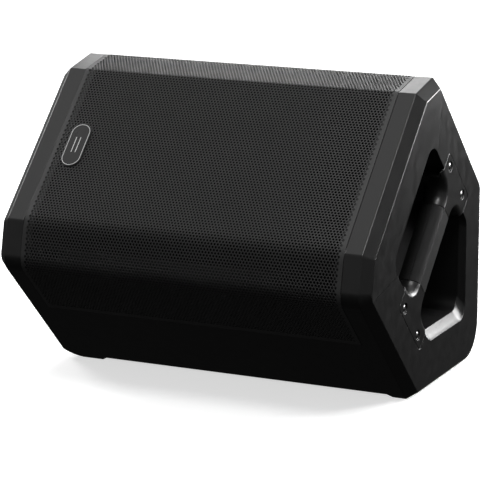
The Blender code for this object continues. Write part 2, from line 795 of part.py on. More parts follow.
def pole_socket():
    """Cup for a stand's pole in the -X end; local Z points out of that end."""
    place = end_place(POLE_DEPTH, -WIDTH / 2)
    cup = [(POLE_HOLE, 0), (45, 0), (45, -4), (22, -4), (22, -80), (0, -80), (0, -77), (POLE_HOLE, -77)]
    socket = turned("pole_socket", cup, place, 40)
    finish(socket, "socket")


def feet():
    for i, (x, y) in enumerate(foot_spots(), 1):
        pad = rectangle(x - 7.5, x + 7.5, y - 22, y + 22, 6.7)
        finish(prism(f"rubber_foot_{i}", pad, "Z", 0, 3.0), "rubber")


# ---------------------------------------------------------------- amplifier

SOCKETS = (("input_jack_1", 92.0), ("input_jack_2", 52.0), ("link_jack", 12.0))
KNOBS = (("level_knob_1", 92.0), ("level_knob_2", 52.0), ("bass_knob", 12.0), ("treble_knob", -24.0))
BUTTONS = (("contour_button", -24.0), ("ground_button", -44.0))
SOCKET_ROW = 168.0
KNOB_ROW = 122.0
POWER_X = -92.0
INLET_Z = 84.0
ROCKER_Z = 150.0


def panel_screws():
    x = PANEL_WIDE / 2 - 6
    for z in (PANEL_LOW + 6, PANEL_HIGH - 6):
        for side in (x, 0.0, -x):
            yield side, z


def panel():
    half = PANEL_WIDE / 2 - GAP
    inner = REAR_Y - PANEL_RECESS - PANEL_SHEET
    plate = block("amp_panel", -half, half, inner, REAR_Y - PANEL_RECESS, PANEL_LOW + GAP, PANEL_HIGH - GAP)
    for _, x in SOCKETS:
        hole = turned("hole", [(0, -9), (12.3, -9), (12.3, 9), (0, 9)], panel_place(x, SOCKET_ROW), 20)
        cut(plate, hole)
    for _, x in KNOBS:
        cut(plate, turned("hole", [(0, -9), (3.6, -9), (3.6, 9), (0, 9)], panel_place(x, KNOB_ROW), 12))
    for _, x in BUTTONS:
        cut(plate, block("hole", -4, 4, -4, 4, -9, 9, panel_place(x, SOCKET_ROW)))
    cut(plate, block("hole", -14.3, 14.3, -10.3, 10.3, -9, 9, panel_place(POWER_X, INLET_Z)))
    cut(plate, block("hole", -10.3, 10.3, -14.3, 14.3, -9, 9, panel_place(POWER_X, ROCKER_Z)))
    cut(plate, turned("hole", [(0, -9), (2.8, -9), (2.8, 9), (0, 9)], panel_place(-60, SOCKET_ROW), 10))
    for x, z in panel_screws():
        cut(plate, turned("hole", [(0, -9), (2.0, -9), (2.0, 9), (0, 9)], panel_place(x, z), 8))
    finish(plate, "panel")
    for i, (x, z) in enumerate(panel_screws(), 1):
        head = [(0, 2.2), (2.4, 1.9), (3.4, 0.9), (3.4, GAP), (1.6, GAP), (1.6, -2.3), (0, -2.3)]
        finish(turned(f"panel_screw_{i}", head, panel_place(x, z), 10), "screw")


def flanged_well(name, flange, body, well, depth, place):
    """Rectangular housing through the panel, with a flange outside it and a well in its front."""
    steps = [(body, -depth), (body, GAP), (flange, GAP), (flange, 2.8), (well, 2.8), (well, 3 - depth)]
    rings = [along("Z", rectangle(-wide, wide, -tall, tall), z) for (wide, tall), z in steps]
    return loft(name, rings, place)


def sockets():
    for name, x in SOCKETS:
        place = panel_place(x, SOCKET_ROW)
        body = [(0, -22), (12, -22), (12, GAP), (15.5, GAP), (15.5, 2.5), (9.5, 2.5), (9.5, -12), (0, -12)]
        jack = turned(name, body, place, 20)
        finish(jack, "socket")
    place = panel_place(POWER_X, INLET_Z)
    finish(flanged_well("power_inlet", (24, 13.5), (14, 10), (12, 8), 20, place), "socket")
    place = panel_place(POWER_X, ROCKER_Z)
    finish(flanged_well("power_switch_frame", (13, 17), (10, 14), (8, 12), 16, place), "socket")
    rocker = [(-10.6, 2.2), (-10.0, 4.6), (0, 2.4), (10.0, 0.6), (10.6, -1.4), (6, -7), (-6, -5)]
    sections = [[(x, y, z) for y, z in rocker] for x in (-7.5, 7.5)]
    finish(loft("power_rocker", sections, place), "knob")


def controls():
    for name, x in KNOBS:
        place = panel_place(x, KNOB_ROW)
        skirt = [(0, -6), (2.8, -6), (2.8, 1), (8.5, 1), (8.5, 3), (6.6, 5), (6.0, 14), (0, 14)]
        knob = turned(name, skirt, place, 18)
        cut(knob, block("mark", -0.5, 0.5, 1.5, 9, 13.2, 16, place))
        finish(knob, "knob")
    for name, x in BUTTONS:
        cap = prism(name, rectangle(-3.4, 3.4, -3.4, 3.4, 1.0, 2), "Z", -7, 5, panel_place(x, SOCKET_ROW))
        finish(cap, "knob")
    lens = [(0, -5), (2.4, -5), (2.4, 0.6), (1.7, 1.6), (0, 2.0)]
    finish(turned("power_lens", lens, panel_place(-60, SOCKET_ROW), 16), "lens")


def electronics():
    """Amplifier board behind the panel, its heat sink, and the mains transformer on the floor."""
    face = REAR_Y - PANEL_RECESS - PANEL_SHEET
    board = block("amp_board", -60, 110, face - 42, face - 40, 62, 186)
    finish(board, "board")
    sink = block("heat_sink", -75, -65, face - 62, face - 24, 62, 186)
    for i in range(5):
        y = face - 60 + 8 * i
        join(sink, block("fin", -65.5, -63.2, y, y + 2, 62, 186))
    for i in range(4):
        z = 68 + 30 * i
        join(sink, block("web", -110, -74, face - 58, face - 28, z, z + 3))
    finish(sink, "fins")
    place = Matrix.Translation(Vector((60, 60, 9.9)) * MM)
    ring = [(16, 0), (46, 0), (52, 6), (52, 34), (46, 40), (16, 40), (13, 36), (13, 4)]
    finish(turned("mains_transformer", ring, place, 28), "copper")
    bolt = [(0, 0), (4, 0), (4, 40.3), (24, 40.3), (24, 42.3), (0, 42.3)]
    finish(turned("transformer_clamp", bolt, place, 24), "steel")


def main():
    for thing in list(bpy.data.objects):
        bpy.data.objects.remove(thing)
    shells()
    grille_and_foam()
    badge()
    handle()
    woofer()
    horn()
    ports()
    pole_socket()
    feet()
    panel()
    sockets()
    controls()
    electronics()


main()
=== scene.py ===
"""Looks of the stage monitor wedge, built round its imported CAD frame.

Sizes are in millimetres and become metres when a mesh is made. As in the CAD source, most pieces are
drawn in the FACE frame: X along the wedge, Y up the slope of the grille, Z out of it.
"""

import math

import bmesh
import bpy
import numpy as np
from mathutils import Matrix, Vector


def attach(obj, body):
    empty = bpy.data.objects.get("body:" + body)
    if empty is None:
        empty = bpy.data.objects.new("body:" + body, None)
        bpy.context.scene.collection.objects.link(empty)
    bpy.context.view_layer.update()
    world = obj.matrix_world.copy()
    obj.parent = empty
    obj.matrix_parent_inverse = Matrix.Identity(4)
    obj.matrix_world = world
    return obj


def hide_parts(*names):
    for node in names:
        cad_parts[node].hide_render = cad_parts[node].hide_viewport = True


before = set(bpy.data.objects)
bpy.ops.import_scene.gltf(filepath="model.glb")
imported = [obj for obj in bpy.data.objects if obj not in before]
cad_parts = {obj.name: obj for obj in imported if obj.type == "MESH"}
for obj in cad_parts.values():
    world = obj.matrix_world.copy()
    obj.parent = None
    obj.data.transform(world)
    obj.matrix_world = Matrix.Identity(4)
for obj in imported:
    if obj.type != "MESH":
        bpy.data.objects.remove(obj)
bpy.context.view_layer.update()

# GAP is the clearance between neighbours. REACH takes a cutter past the wedge, and DEEP through a panel.
MM = 0.001
GAP = 0.3
REACH = 300.0
DEEP = 9.0

# Distances in metres under which points are one point and edges are nothing, and the bend in degrees
# under which faces are one face. SHARP is the bend from which an edge is rounded, and SMOOTH_BELOW the
# one under which it is shaded smooth.
SAME_SPOT = 1e-7
SMALLEST = 2e-6
FLAT = 0.4
SHARP = 30.0
SMOOTH_BELOW = 40.0

# Cabinet, in the FACE frame. Every depth is counted back from the grille's plane.
WIDTH = 520.0
FACE_HALF = 121.45
BEVEL_RUN = 49.5
BEVEL_DROP = 31.8
FLANK = 230.8
HALF = FACE_HALF + BEVEL_RUN
BACK = BEVEL_DROP + FLANK
APEX = BACK + HALF
END_CHAMFER = 12.65
END_INSET = 12.2
SKID_HEIGHT = 4.1
END_BOTTOM_INSET = 7.7
SKID_INNER = 222.5
LEFT_SKID_INNER = 186.0
SKID_SLOPE = 6.9
LEFT_EDGE_RADIUS = 38.0
WALL = 5.0
SEAM = 51.0
CORNER_STEPS = 10
EDGE_RADIUS = 2.2

# Grille, foam and baffle.
GRILLE_HALF = 223.5
GRILLE_SINK = 0.8
GRILLE_SHEET = 1.5
GRILLE_DEPTH = BEVEL_DROP + 101.0
GRILLE_BENDS = [0.0, 3.0, 3.0, 40.0, 26.0, 0.0]
HOLE_PITCH = 4.40
HOLE_ROW = 3.76
HOLE_RADIUS = 1.72
HOLE_SIDES = 12
GRILLE_PIECES = 6
GRILLE_MARGIN = 6.0
GRILLE_SIDE = 4.0
SHEET_SEEN = 1.0
OPENING_HALF = 212.0
OPENING_RISE = 160.0
BAFFLE_FRONT = 38.0
BAFFLE_LET_IN = 1.5
FOAM_RUN = 26.0
FOAM_THICK = 5.0
BADGE_X = -192.0
BADGE_WIDE = 15.0
BADGE_TALL = 34.0

# Carrying handle at the +X end, in the FACE frame.
POCKET_DEPTH = 57.0
POCKET_LOW = -91.0
POCKET_HIGH = 96.0
POCKET_FRONT = 67.3
POCKET_SHOULDER = 249.3
POCKET_WALL = 4.0
HANDLE_MIDDLE = 0.5 * (POCKET_LOW + POCKET_HIGH)
HANDLE_LENGTH = 240.0
HANDLE_FRONT = 126.3
HANDLE_REAR = 228.3
GRIP_DEPTH = 177.0
GRIP_RADIUS = 19.2
GRIP_AXIS = 15.8
GRIP_CORE = 18.0
GRIP_HALF = 58.0
CORE_REACH = 90.0
TAB = 5.0
BRIDGE = GRIP_AXIS + GRIP_RADIUS
LIP = 10.0
LIP_DEEP = 13.0
LIP_STEPS = 36
BAR_STEPS = 72
SCREW_SPAN = 217.0
SCREW_FRONT = 143.5
SCREW_REAR = 208.3

# Drivers, on the baffle.
WOOFER_X = -55.0
WOOFER_RADIUS = 153.0
HORN_X = 156.0
HORN_WIDE = 108.0
HORN_TALL = 236.0
HORN_DEPTH = 72.0
DRIVER_RADIUS = 42.0
THROAT = 18.0
HORN_RIM = 8.0
HORN_STEPS = 20
PORT_X = -186.0
PORT_Y = 134.0
PORT_RADIUS = 20.0

# Amplifier panel, let into the upright rear face.
PANEL_WIDE = 260.0
PANEL_LOW = 45.0
PANEL_HIGH = 205.0
PANEL_RECESS = 20.0
PANEL_SHEET = 2.5
LEDGE = 12.0
SOCKETS = (("input_jack_1", 92.0), ("input_jack_2", 52.0), ("link_jack", 12.0))
KNOBS = (
    ("level_knob_1", 92.0, "level_1"),
    ("level_knob_2", 52.0, "level_2"),
    ("bass_knob", 12.0, "bass"),
    ("treble_knob", -24.0, "treble"),
)
BUTTONS = (("contour_button", -24.0, "contour"), ("ground_button", -44.0, "ground"))
SOCKET_ROW = 168.0
KNOB_ROW = 122.0
POWER_X = -92.0
LENS_X = -60.0
INLET_Z = 84.0
ROCKER_Z = 150.0
JACK_RADIUS = 12.0
INLET_BODY = (14.0, 10.0)
SWITCH_BODY = (10.0, 14.0)
PRINT_THICK = 0.12

POLE_DEPTH = 172.0
POLE_HOLE = 18.0
POLE_TUBE = 22.0
POLE_FLANGE = 45.0
POLE_BOSS = 52.0
POLE_RIM = 4.0
POLE_FLOOR = 77.0
POLE_SCREWS = 33.0

# Rubber feet, let into the skids.
FOOT_WIDE = 7.5
FOOT_LONG = 22.0
FOOT_CORNER = 7.0
FOOT_TALL = 3.0

BODY = "cabinet"


# ---------------------------------------------------------------- outlines


def offset(points, distances, closed=True):
    """Moves each side of an outline to its right by its distance, and mitres the corners."""
    count = len(points)
    sides = count if closed else count - 1
    lines = []
    for i in range(sides):
        start = Vector(points[i])
        along = (Vector(points[(i + 1) % count]) - start).normalized()
        right = Vector((along.y, -along.x))
        lines.append((start + right * distances[i], along))
    moved = []
    for i in range(count):
        before = lines[i - 1] if closed or i > 0 else lines[0]
        after = lines[i] if closed or i < sides else lines[-1]
        bend = before[1].cross(after[1])
        if abs(bend) < 1e-9:
            line = after if i < sides else before
            end = i if i < sides else i - 1
            shift = 0.0 if end == i else (Vector(points[i]) - Vector(points[end])).length
            moved.append(line[0] + line[1] * shift)
            continue
        reach = (after[0] - before[0]).cross(after[1]) / bend
        moved.append(before[0] + before[1] * reach)
    return [tuple(point) for point in moved]


def rounded(points, radii, closed=True, steps=CORNER_STEPS):
    """Replaces each corner by an arc of its radius; every corner gets the same number of points."""
    count = len(points)
    outline = []
    for i, (point, radius) in enumerate(zip(points, radii)):
        corner = Vector(point)
        if not closed and i in (0, count - 1):
            outline.append(tuple(corner))
            continue
        back = (Vector(points[i - 1]) - corner).normalized()
        ahead = (Vector(points[(i + 1) % count]) - corner).normalized()
        half = back.angle(ahead) / 2
        centre = corner + (back + ahead).normalized() * (radius / math.sin(half))
        first = corner + back * (radius / math.tan(half)) - centre
        last = corner + ahead * (radius / math.tan(half)) - centre
        sweep = first.angle_signed(last)
        for step in range(steps + 1):
            turn = -sweep * step / steps
            c, s = math.cos(turn), math.sin(turn)
            x = centre.x + first.x * c - first.y * s
            y = centre.y + first.x * s + first.y * c
            outline.append((x, y))
    return outline


def rectangle(x0, x1, y0, y1, radius=0.0, steps=6):
    corners = [(x0, y0), (x1, y0), (x1, y1), (x0, y1)]
    return rounded(corners, [radius] * 4, steps=steps) if radius else corners


def circle(radius, x=0.0, y=0.0, steps=48):
    turns = [math.tau * i / steps for i in range(steps)]
    return [(x + radius * math.cos(t), y + radius * math.sin(t)) for t in turns]


# ---------------------------------------------------------------- solids

IDENTITY = Matrix()


def add_object(name, data):
    thing = bpy.data.objects.new(name, data)
    bpy.context.scene.collection.objects.link(thing)
    return thing


def solid(name, vertices, faces, place=IDENTITY):
    """Mesh object with its place in its vertices."""
    mesh = bpy.data.meshes.new(name)
    mesh.from_pydata([place @ (Vector(v) * MM) for v in vertices], [], faces)
    shape = bmesh.new()
    shape.from_mesh(mesh)
    bmesh.ops.remove_doubles(shape, verts=shape.verts, dist=SAME_SPOT)
    bmesh.ops.recalc_face_normals(shape, faces=shape.faces)
    shape.to_mesh(mesh)
    shape.free()
    return add_object(name, mesh)


def loft(name, sections, place=IDENTITY):
    """Closed solid through rings of equally many points, capped at both ends."""
    count = len(sections[0])
    vertices = [point for section in sections for point in section]
    faces = [tuple(range(count)), tuple(range(len(vertices) - count, len(vertices)))]
    for ring in range(len(sections) - 1):
        for i in range(count):
            a = ring * count + i
            b = ring * count + (i + 1) % count
            faces.append((a, b, b + count, a + count))
    return solid(name, vertices, faces, place)


def along(axis, outline, height):
    """Outline points set in space at a height along an axis; X takes (y, z), Y takes (x, z)."""
    place = "XYZ".index(axis)
    return [(*point[:place], height, *point[place:]) for point in outline]


def stepped(outline, layers):
    """Rings at (inset, height) points, each the outline moved inwards by its inset."""
    return [along("Z", offset(outline, [-inset] * len(outline)), z) for inset, z in layers]


def prism(name, outline, axis, low, high, place=IDENTITY):
    return loft(name, [along(axis, outline, low), along(axis, outline, high)], place)


def block(name, x0, x1, y0, y1, z0, z1, place=IDENTITY):
    return prism(name, rectangle(x0, x1, y0, y1), "Z", z0, z1, place)


def bar(name, half_x, half_y, z0, z1, place):
    """Block centred on its place's axis."""
    return block(name, -half_x, half_x, -half_y, half_y, z0, z1, place)


def hoop(name, rings, place=IDENTITY):
    """Closed band through rings of equally many points, the last one joined to the first."""
    count = len(rings[0])
    vertices = [point for ring in rings for point in ring]
    faces = []
    for r in range(len(rings)):
        for i in range(count):
            j = (i + 1) % count
            n = (r + 1) % len(rings)
            faces.append((r * count + i, r * count + j, n * count + j, n * count + i))
    return solid(name, vertices, faces, place)


def line_loop(name, outline, wide, thick, place):
    """Flat raised line along the inside of an outline."""
    return hoop(name, stepped(outline, [(0, 0), (0, thick), (wide, thick), (wide, 0)]), place)


def tube(inner, outer, first, last):
    """Profile of a plain ring between two heights, or of a rod when its inner radius is 0."""
    return [(inner, first), (outer, first), (outer, last), (inner, last)]


def spun(place, degrees):
    return place @ Matrix.Rotation(math.radians(degrees), 4, "Z")


def shifted(place, x, y, z=0.0):
    return place @ Matrix.Translation(Vector((x, y, z)) * MM)


def turned(name, profile, place=IDENTITY, segments=64):
    """Closed (radius, height) outline turned about Z; a point on the axis is a single vertex."""
    vertices = []
    rings = []
    for radius, height in profile:
        start = len(vertices)
        if radius == 0:
            vertices.append((0, 0, height))
            rings.append([start] * segments)
            continue
        vertices += [(x, y, height) for x, y in circle(radius, steps=segments)]
        rings.append(list(range(start, start + segments)))
    faces = []
    for ring, following in zip(rings, rings[1:] + rings[:1]):
        for i in range(segments):
            j = (i + 1) % segments
            face = list(dict.fromkeys((ring[i], ring[j], following[j], following[i])))
            if len(face) > 2:
                faces.append(face)
    return solid(name, vertices, faces, place)


def settle(thing):
    """Turns an object's evaluated shape into its mesh."""
    graph = bpy.context.evaluated_depsgraph_get()
    mesh = bpy.data.meshes.new_from_object(thing.evaluated_get(graph))
    thing.modifiers.clear()
    thing.data = mesh


def combine(body, operation, tools):
    for tool in tools:
        modifier = body.modifiers.new(operation.lower(), "BOOLEAN")
        modifier.operation = operation
        modifier.solver = "EXACT"
        modifier.object = tool
        settle(body)
        bpy.data.objects.remove(tool)
    return body


def cut(body, *tools):
    return combine(body, "DIFFERENCE", tools)


def join(body, *tools):
    return combine(body, "UNION", tools)


def keep(body, *tools):
    return combine(body, "INTERSECT", tools)


def merge(name, parts):
    """Several separate solids as one piece."""
    shape = bmesh.new()
    for part in parts:
        shape.from_mesh(part.data)
        bpy.data.objects.remove(part)
    mesh = bpy.data.meshes.new(name)
    shape.to_mesh(mesh)
    shape.free()
    return add_object(name, mesh)


def tidy_mesh(thing):
    """Merges doubled vertices and dissolves edges between faces in one plane."""
    shape = bmesh.new()
    shape.from_mesh(thing.data)
    bmesh.ops.remove_doubles(shape, verts=shape.verts, dist=SMALLEST)
    bmesh.ops.dissolve_degenerate(shape, edges=shape.edges, dist=SMALLEST)
    bmesh.ops.dissolve_limit(
        shape, angle_limit=math.radians(FLAT), verts=shape.verts, edges=shape.edges
    )
    shape.to_mesh(thing.data)
    shape.free()


def soften(thing, width, segments=3, tidy=True):
    """Rounds the sharp edges of a piece, and shades it by its faces' areas."""
    if tidy:
        tidy_mesh(thing)
    bevel = thing.modifiers.new("edges", "BEVEL")
    bevel.width = width * MM
    bevel.segments = segments
    bevel.limit_method = "ANGLE"
    bevel.angle_limit = math.radians(SHARP)
    bevel.use_clamp_overlap = False
    bevel.miter_outer = "MITER_ARC"
    settle(thing)
    return smooth(thing, SMOOTH_BELOW)


def smooth(thing, below=32.0):
    thing.data.shade_smooth()
    thing.data.set_sharp_from_angle(angle=math.radians(below))
    normals = thing.modifiers.new("normals", "WEIGHTED_NORMAL")
    normals.keep_sharp = True
    return thing


# ---------------------------------------------------------------- materials


def fill_ramp(ramp, stops):
    elements = ramp.color_ramp.elements
    while len(elements) < len(stops):
        elements.new(0.5)
    for element, (position, colour) in zip(elements, stops):
        element.position = position
        element.color = (*grey(colour), 1.0)


def grey(tone):
    """A single value as a colour; a colour stays as it is."""
    return tone if isinstance(tone, tuple) else (tone, tone, tone)


def fill(node, **values):
    """Sets sockets by name, and gives the node back."""
    for key, value in values.items():
        node.inputs[key.replace("_", " ").title().replace("Ior", "IOR")].default_value = value
    return node


class Nodes:
    """Short names for the nodes that these materials share."""

    def __init__(self, name):
        self.material = bpy.data.materials.new(name)
        self.material.use_nodes = True
        self.tree = self.material.node_tree
        self.shader = self.tree.nodes["Principled BSDF"]
        self.place = self.add("ShaderNodeTexCoord").outputs["Object"]

    def add(self, kind, **values):
        node = self.tree.nodes.new(kind)
        for key, value in values.items():
            setattr(node, key, value)
        return node

    def link(self, source, target):
        self.tree.links.new(source, target)

    def pattern(self, kind, output, settings, **values):
        node = fill(self.add(kind, **settings), **values)
        self.link(self.place, node.inputs["Vector"])
        return node.outputs[output]

    def noise(self, scale, detail=2.0, roughness=0.5):
        return self.pattern("ShaderNodeTexNoise", "Fac", {}, scale=scale, detail=detail, roughness=roughness)

    def cells(self, scale):
        return self.pattern("ShaderNodeTexVoronoi", "Distance", {}, scale=scale)

    def wave(self, scale, direction, distortion=0.0):
        settings = {"bands_direction": direction}
        return self.pattern("ShaderNodeTexWave", "Fac", settings, scale=scale, distortion=distortion)

    def spread(self, source, low, high, first=0.3, last=0.7):
        node = fill(self.add("ShaderNodeMapRange"), from_min=first, from_max=last, to_min=low, to_max=high)
        self.link(source, node.inputs["Value"])
        return node.outputs["Result"]

    def paint(self, source, *stops, target="Base Color"):
        """Colours along a pattern, into one of the shader's sockets."""
        node = self.add("ShaderNodeValToRGB")
        fill_ramp(node, stops)
        self.link(source, node.inputs["Fac"])
        self.link(node.outputs["Color"], self.shader.inputs[target])

    def uneven(self, source, low, high, *span, target="Roughness"):
        self.link(self.spread(source, low, high, *span), self.shader.inputs[target])

    def finish(self, relief, strength, depth, **values):
        """Bump from a pattern, and the shader's constant values."""
        node = fill(self.add("ShaderNodeBump"), strength=strength, distance=depth * MM)
        self.link(relief, node.inputs["Height"])
        self.link(node.outputs["Normal"], self.shader.inputs["Normal"])
        fill(self.shader, **values)
        return self.material


# Moulded, cast and painted surfaces: dark and light tone, roughness, scale of the grain, strength and
# depth of its relief, specular level and metallic value.
GRAINED = {
    "shell_plastic": (0.0070, 0.0078, 0.32, 1100, 0.22, 0.05, 0.5, 0.0),
    "grille_steel": (0.029, 0.033, 0.50, 1800, 0.3, 0.03, 0.5, 0.0),
    "badge_plate": (0.010, 0.014, 0.30, 1500, 0.1, 0.02, 0.4, 0.0),
    "grip_plastic": (0.007, 0.010, 0.62, 1500, 0.35, 0.08, 0.2, 0.0),
    "foot_rubber": (0.010, 0.016, 0.80, 700, 0.5, 0.15, 0.2, 0.0),
    "cone_paper": (0.016, 0.026, 0.85, 420, 0.7, 0.25, 0.2, 0.0),
    "surround_rubber": (0.012, 0.016, 0.55, 900, 0.2, 0.05, 0.4, 0.0),
    "basket_steel": (0.020, 0.028, 0.42, 600, 0.25, 0.06, 0.5, 0.4),
    "ferrite": (0.030, 0.055, 0.62, 350, 0.6, 0.2, 0.4, 0.0),
    "horn_plastic": (0.010, 0.013, 0.32, 1300, 0.1, 0.03, 0.45, 0.0),
    "panel_steel": (0.018, 0.024, 0.50, 1600, 0.35, 0.04, 0.5, 0.2),
    "socket_plastic": (0.011, 0.015, 0.36, 1200, 0.12, 0.03, 0.5, 0.0),
    "knob_plastic": (0.014, 0.019, 0.42, 1200, 0.25, 0.05, 0.5, 0.0),
    "print_white": (0.55, 0.65, 0.6, 1500, 0.2, 0.02, 0.4, 0.0),
    "chip_plastic": (0.015, 0.022, 0.6, 800, 0.3, 0.05, 0.4, 0.0),
}
# Bare metals: dark and light tone, and roughness.
BRUSHED = {
    "bright_screw": (0.22, 0.30, 0.24),
    "magnet_steel": (0.36, 0.46, 0.32),
    "diaphragm_titanium": ((0.48, 0.46, 0.44), (0.6, 0.58, 0.55), 0.28),
    "panel_screw": (0.05, 0.08, 0.35),
    "heat_sink_aluminium": (0.5, 0.62, 0.36),
    "contact_metal": ((0.55, 0.52, 0.46), (0.7, 0.66, 0.6), 0.25),
    "can_aluminium": (0.55, 0.66, 0.3),
}
MOTTLE = 14.0


def grained(name, dark, light, rough, grain, bump, depth, specular, metallic):
    """Fine grain, a broad change of tone, and uneven gloss."""
    nodes = Nodes(name)
    nodes.paint(nodes.noise(MOTTLE, 4.0, 0.6), (0.35, dark), (0.65, light))
    nodes.uneven(nodes.noise(MOTTLE * 5.0, 3.0), rough - 0.04, rough + 0.05)
    fine = nodes.noise(grain, 2.0, 0.6)
    return nodes.finish(fine, bump, depth, metallic=metallic, specular_ior_level=specular)


def brushed(name, dark, light, rough):
    """Faint lines from turning or rolling."""
    nodes = Nodes(name)
    lines = nodes.noise(900.0, 3.0, 0.7)
    nodes.paint(lines, (0.3, dark), (0.7, light))
    nodes.uneven(nodes.noise(120.0, 3.0), rough - 0.06, rough + 0.1)
    return nodes.finish(lines, 0.15, 0.03, metallic=1.0)


def foam_material():
    nodes = Nodes("grille_foam")
    cells = nodes.cells(1100.0)
    nodes.paint(cells, (0.1, 0.002), (0.8, 0.006))
    return nodes.finish(cells, 0.8, 0.5, roughness=0.95, specular_ior_level=0.1)


def cloth_material():
    nodes = Nodes("spider_cloth")
    weave = nodes.add("ShaderNodeMath", operation="MULTIPLY")
    for thread, direction in enumerate("XY"):
        nodes.link(nodes.wave(260.0, direction), weave.inputs[thread])
    nodes.paint(weave.outputs[0], (0.0, (0.20, 0.12, 0.04)), (1.0, (0.42, 0.27, 0.10)))
    return nodes.finish(weave.outputs[0], 0.5, 0.3, roughness=0.85)


def winding_material(name, turns):
    nodes = Nodes(name)
    wire = nodes.wave(turns, "Z", 0.3)
    nodes.paint(wire, (0.0, (0.30, 0.10, 0.03)), (1.0, (0.62, 0.25, 0.09)))
    return nodes.finish(wire, 0.6, 0.3, roughness=0.35, metallic=0.8)


def board_material():
    nodes = Nodes("circuit_board")
    tracks = nodes.cells(160.0)
    nodes.paint(tracks, (0.35, (0.010, 0.085, 0.030)), (0.42, (0.018, 0.14, 0.050)))
    return nodes.finish(tracks, 0.3, 0.05, roughness=0.35)


def lens_material():
    nodes = Nodes("lens_plastic")
    nodes.paint(nodes.noise(300.0), (0.3, (0.02, 0.30, 0.05)), (0.7, (0.04, 0.42, 0.08)))
    return nodes.finish(nodes.noise(900.0), 0.1, 0.02, roughness=0.15, coat_weight=0.6)


MATERIALS = {name: grained(name, *values) for name, values in GRAINED.items()}
MATERIALS.update({name: brushed(name, *values) for name, values in BRUSHED.items()})
MATERIALS.update(
    grille_foam=foam_material(),
    spider_cloth=cloth_material(),
    coil_copper=winding_material("coil_copper", 700.0),
    transformer_core=winding_material("transformer_core", 900.0),
    circuit_board=board_material(),
    lens_plastic=lens_material(),
)


def show(piece, slot, replaced=(), body=BODY, look=None):
    """Gives a piece its finish and its body, and hides the CAD nodes that it stands for."""
    piece.data.materials.clear()
    piece.data.materials.append(MATERIALS[look or slot])
    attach(piece, body)
    if replaced:
        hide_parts(*replaced)
    return piece


# ---------------------------------------------------------------- cross-section and frames

# Corners of the cross-section in (Y, Z) of the FACE frame, from the top front corner round the back.
CORNERS = [
    (FACE_HALF, 0.0),
    (HALF, -BEVEL_DROP),
    (HALF, -BACK),
    (0.0, -APEX),
    (-HALF, -BACK),
    (-HALF, -BEVEL_DROP),
    (-FACE_HALF, 0.0),
]
RADII = [3.0, 3.0, 19.0, 31.0, 2.0, 26.0, 8.0]
END_RADII = [3.0, 3.0, 15.0, 45.0, 3.0, 14.0, 5.0]
BOTTOM_SIDE = 3
CAD_CORNER_STEPS = 4


def inset_section(inset, bottom_inset, radii=RADII, steps=CORNER_STEPS):
    distances = [inset] * len(CORNERS)
    distances[BOTTOM_SIDE] = bottom_inset
    return rounded(offset(CORNERS, distances), radii, steps=steps)


def face_frame():
    """Grille plane's middle: the wedge's outline is centred on Y = 0 and touches Z = 0."""
    slope = math.radians(45)
    sine = math.sin(slope)
    spread = [sine * (y - z) for y, z in inset_section(0.0, 0.0, steps=CAD_CORNER_STEPS)]
    middle = -0.5 * (min(spread) + max(spread))
    return shifted(IDENTITY, 0, middle, APEX * sine) @ Matrix.Rotation(slope, 4, "X")


FACE = face_frame()
REAR_Y = FACE.translation.y / MM + APEX * math.sin(math.radians(45))
BEHIND = Matrix.Rotation(math.pi, 4, "Z") @ Matrix.Rotation(math.radians(90), 4, "X")


def face_place(x, y, depth):
    return shifted(FACE, x, y, -depth)


def panel_place(x, z):
    """A spot on the amplifier panel: local Z points out of the rear, local Y up."""
    return shifted(IDENTITY, x, REAR_Y - PANEL_RECESS, z) @ BEHIND


def end_place(depth, x, y=0.0):
    """A spot on an end face: local Z points along world -X."""
    return face_place(x, y, depth) @ Matrix.Rotation(math.radians(-90), 4, "Y")


# ---------------------------------------------------------------- camera, light and floor


# Where the photograph was taken from, in metres, its yaw, pitch and roll in degrees, and its lens.
EYE = (1.34266, -2.83705, 0.90432)
EYE_TURNS = (25.432, 13.056, -0.143)
LENS = 183.0

# Name, place and target in metres, width and height in metres, and power in watts.
LIGHTS = (
    ("overhead", (-0.4, 0.35, 2.6), (-0.4, 0.35, 0.0), 3.6, 3.2, 30.0),
    ("edge_strip", (0.60, -0.62, 1.6), (0.25, -0.1, 0.3), 0.2, 0.6, 8.0),
    ("side_edge", (1.16, 0.56, 0.66), (0.25, -0.1, 0.3), 0.2, 0.3, 1.6),
    ("right_rear", (0.81, 0.71, 0.54), (0.24, 0.0, 0.23), 0.75, 0.35, 15.0),
    ("left", (-1.9, 0.3, 1.25), (-0.25, 0.0, 0.2), 0.6, 0.6, 17.0),
    ("back_fill", (-0.7, 1.9, 1.1), (0.0, 0.2, 0.15), 1.2, 0.8, 26.0),
)

# Brightness of the room from straight down to straight up.
ROOM = ((0.0, 0.02), (0.47, 0.04), (0.53, 0.36), (0.75, 0.26), (1.0, 0.22))

# Section of the backdrop's dome, and the floor's reach.
DOME = [
    (13600, -10), (14000, -10), (13000, 6000), (8000, 10000), (0, 12000), (0, 11800), (7900, 9800),
    (12700, 5900),
]
FLOOR_REACH = 14000


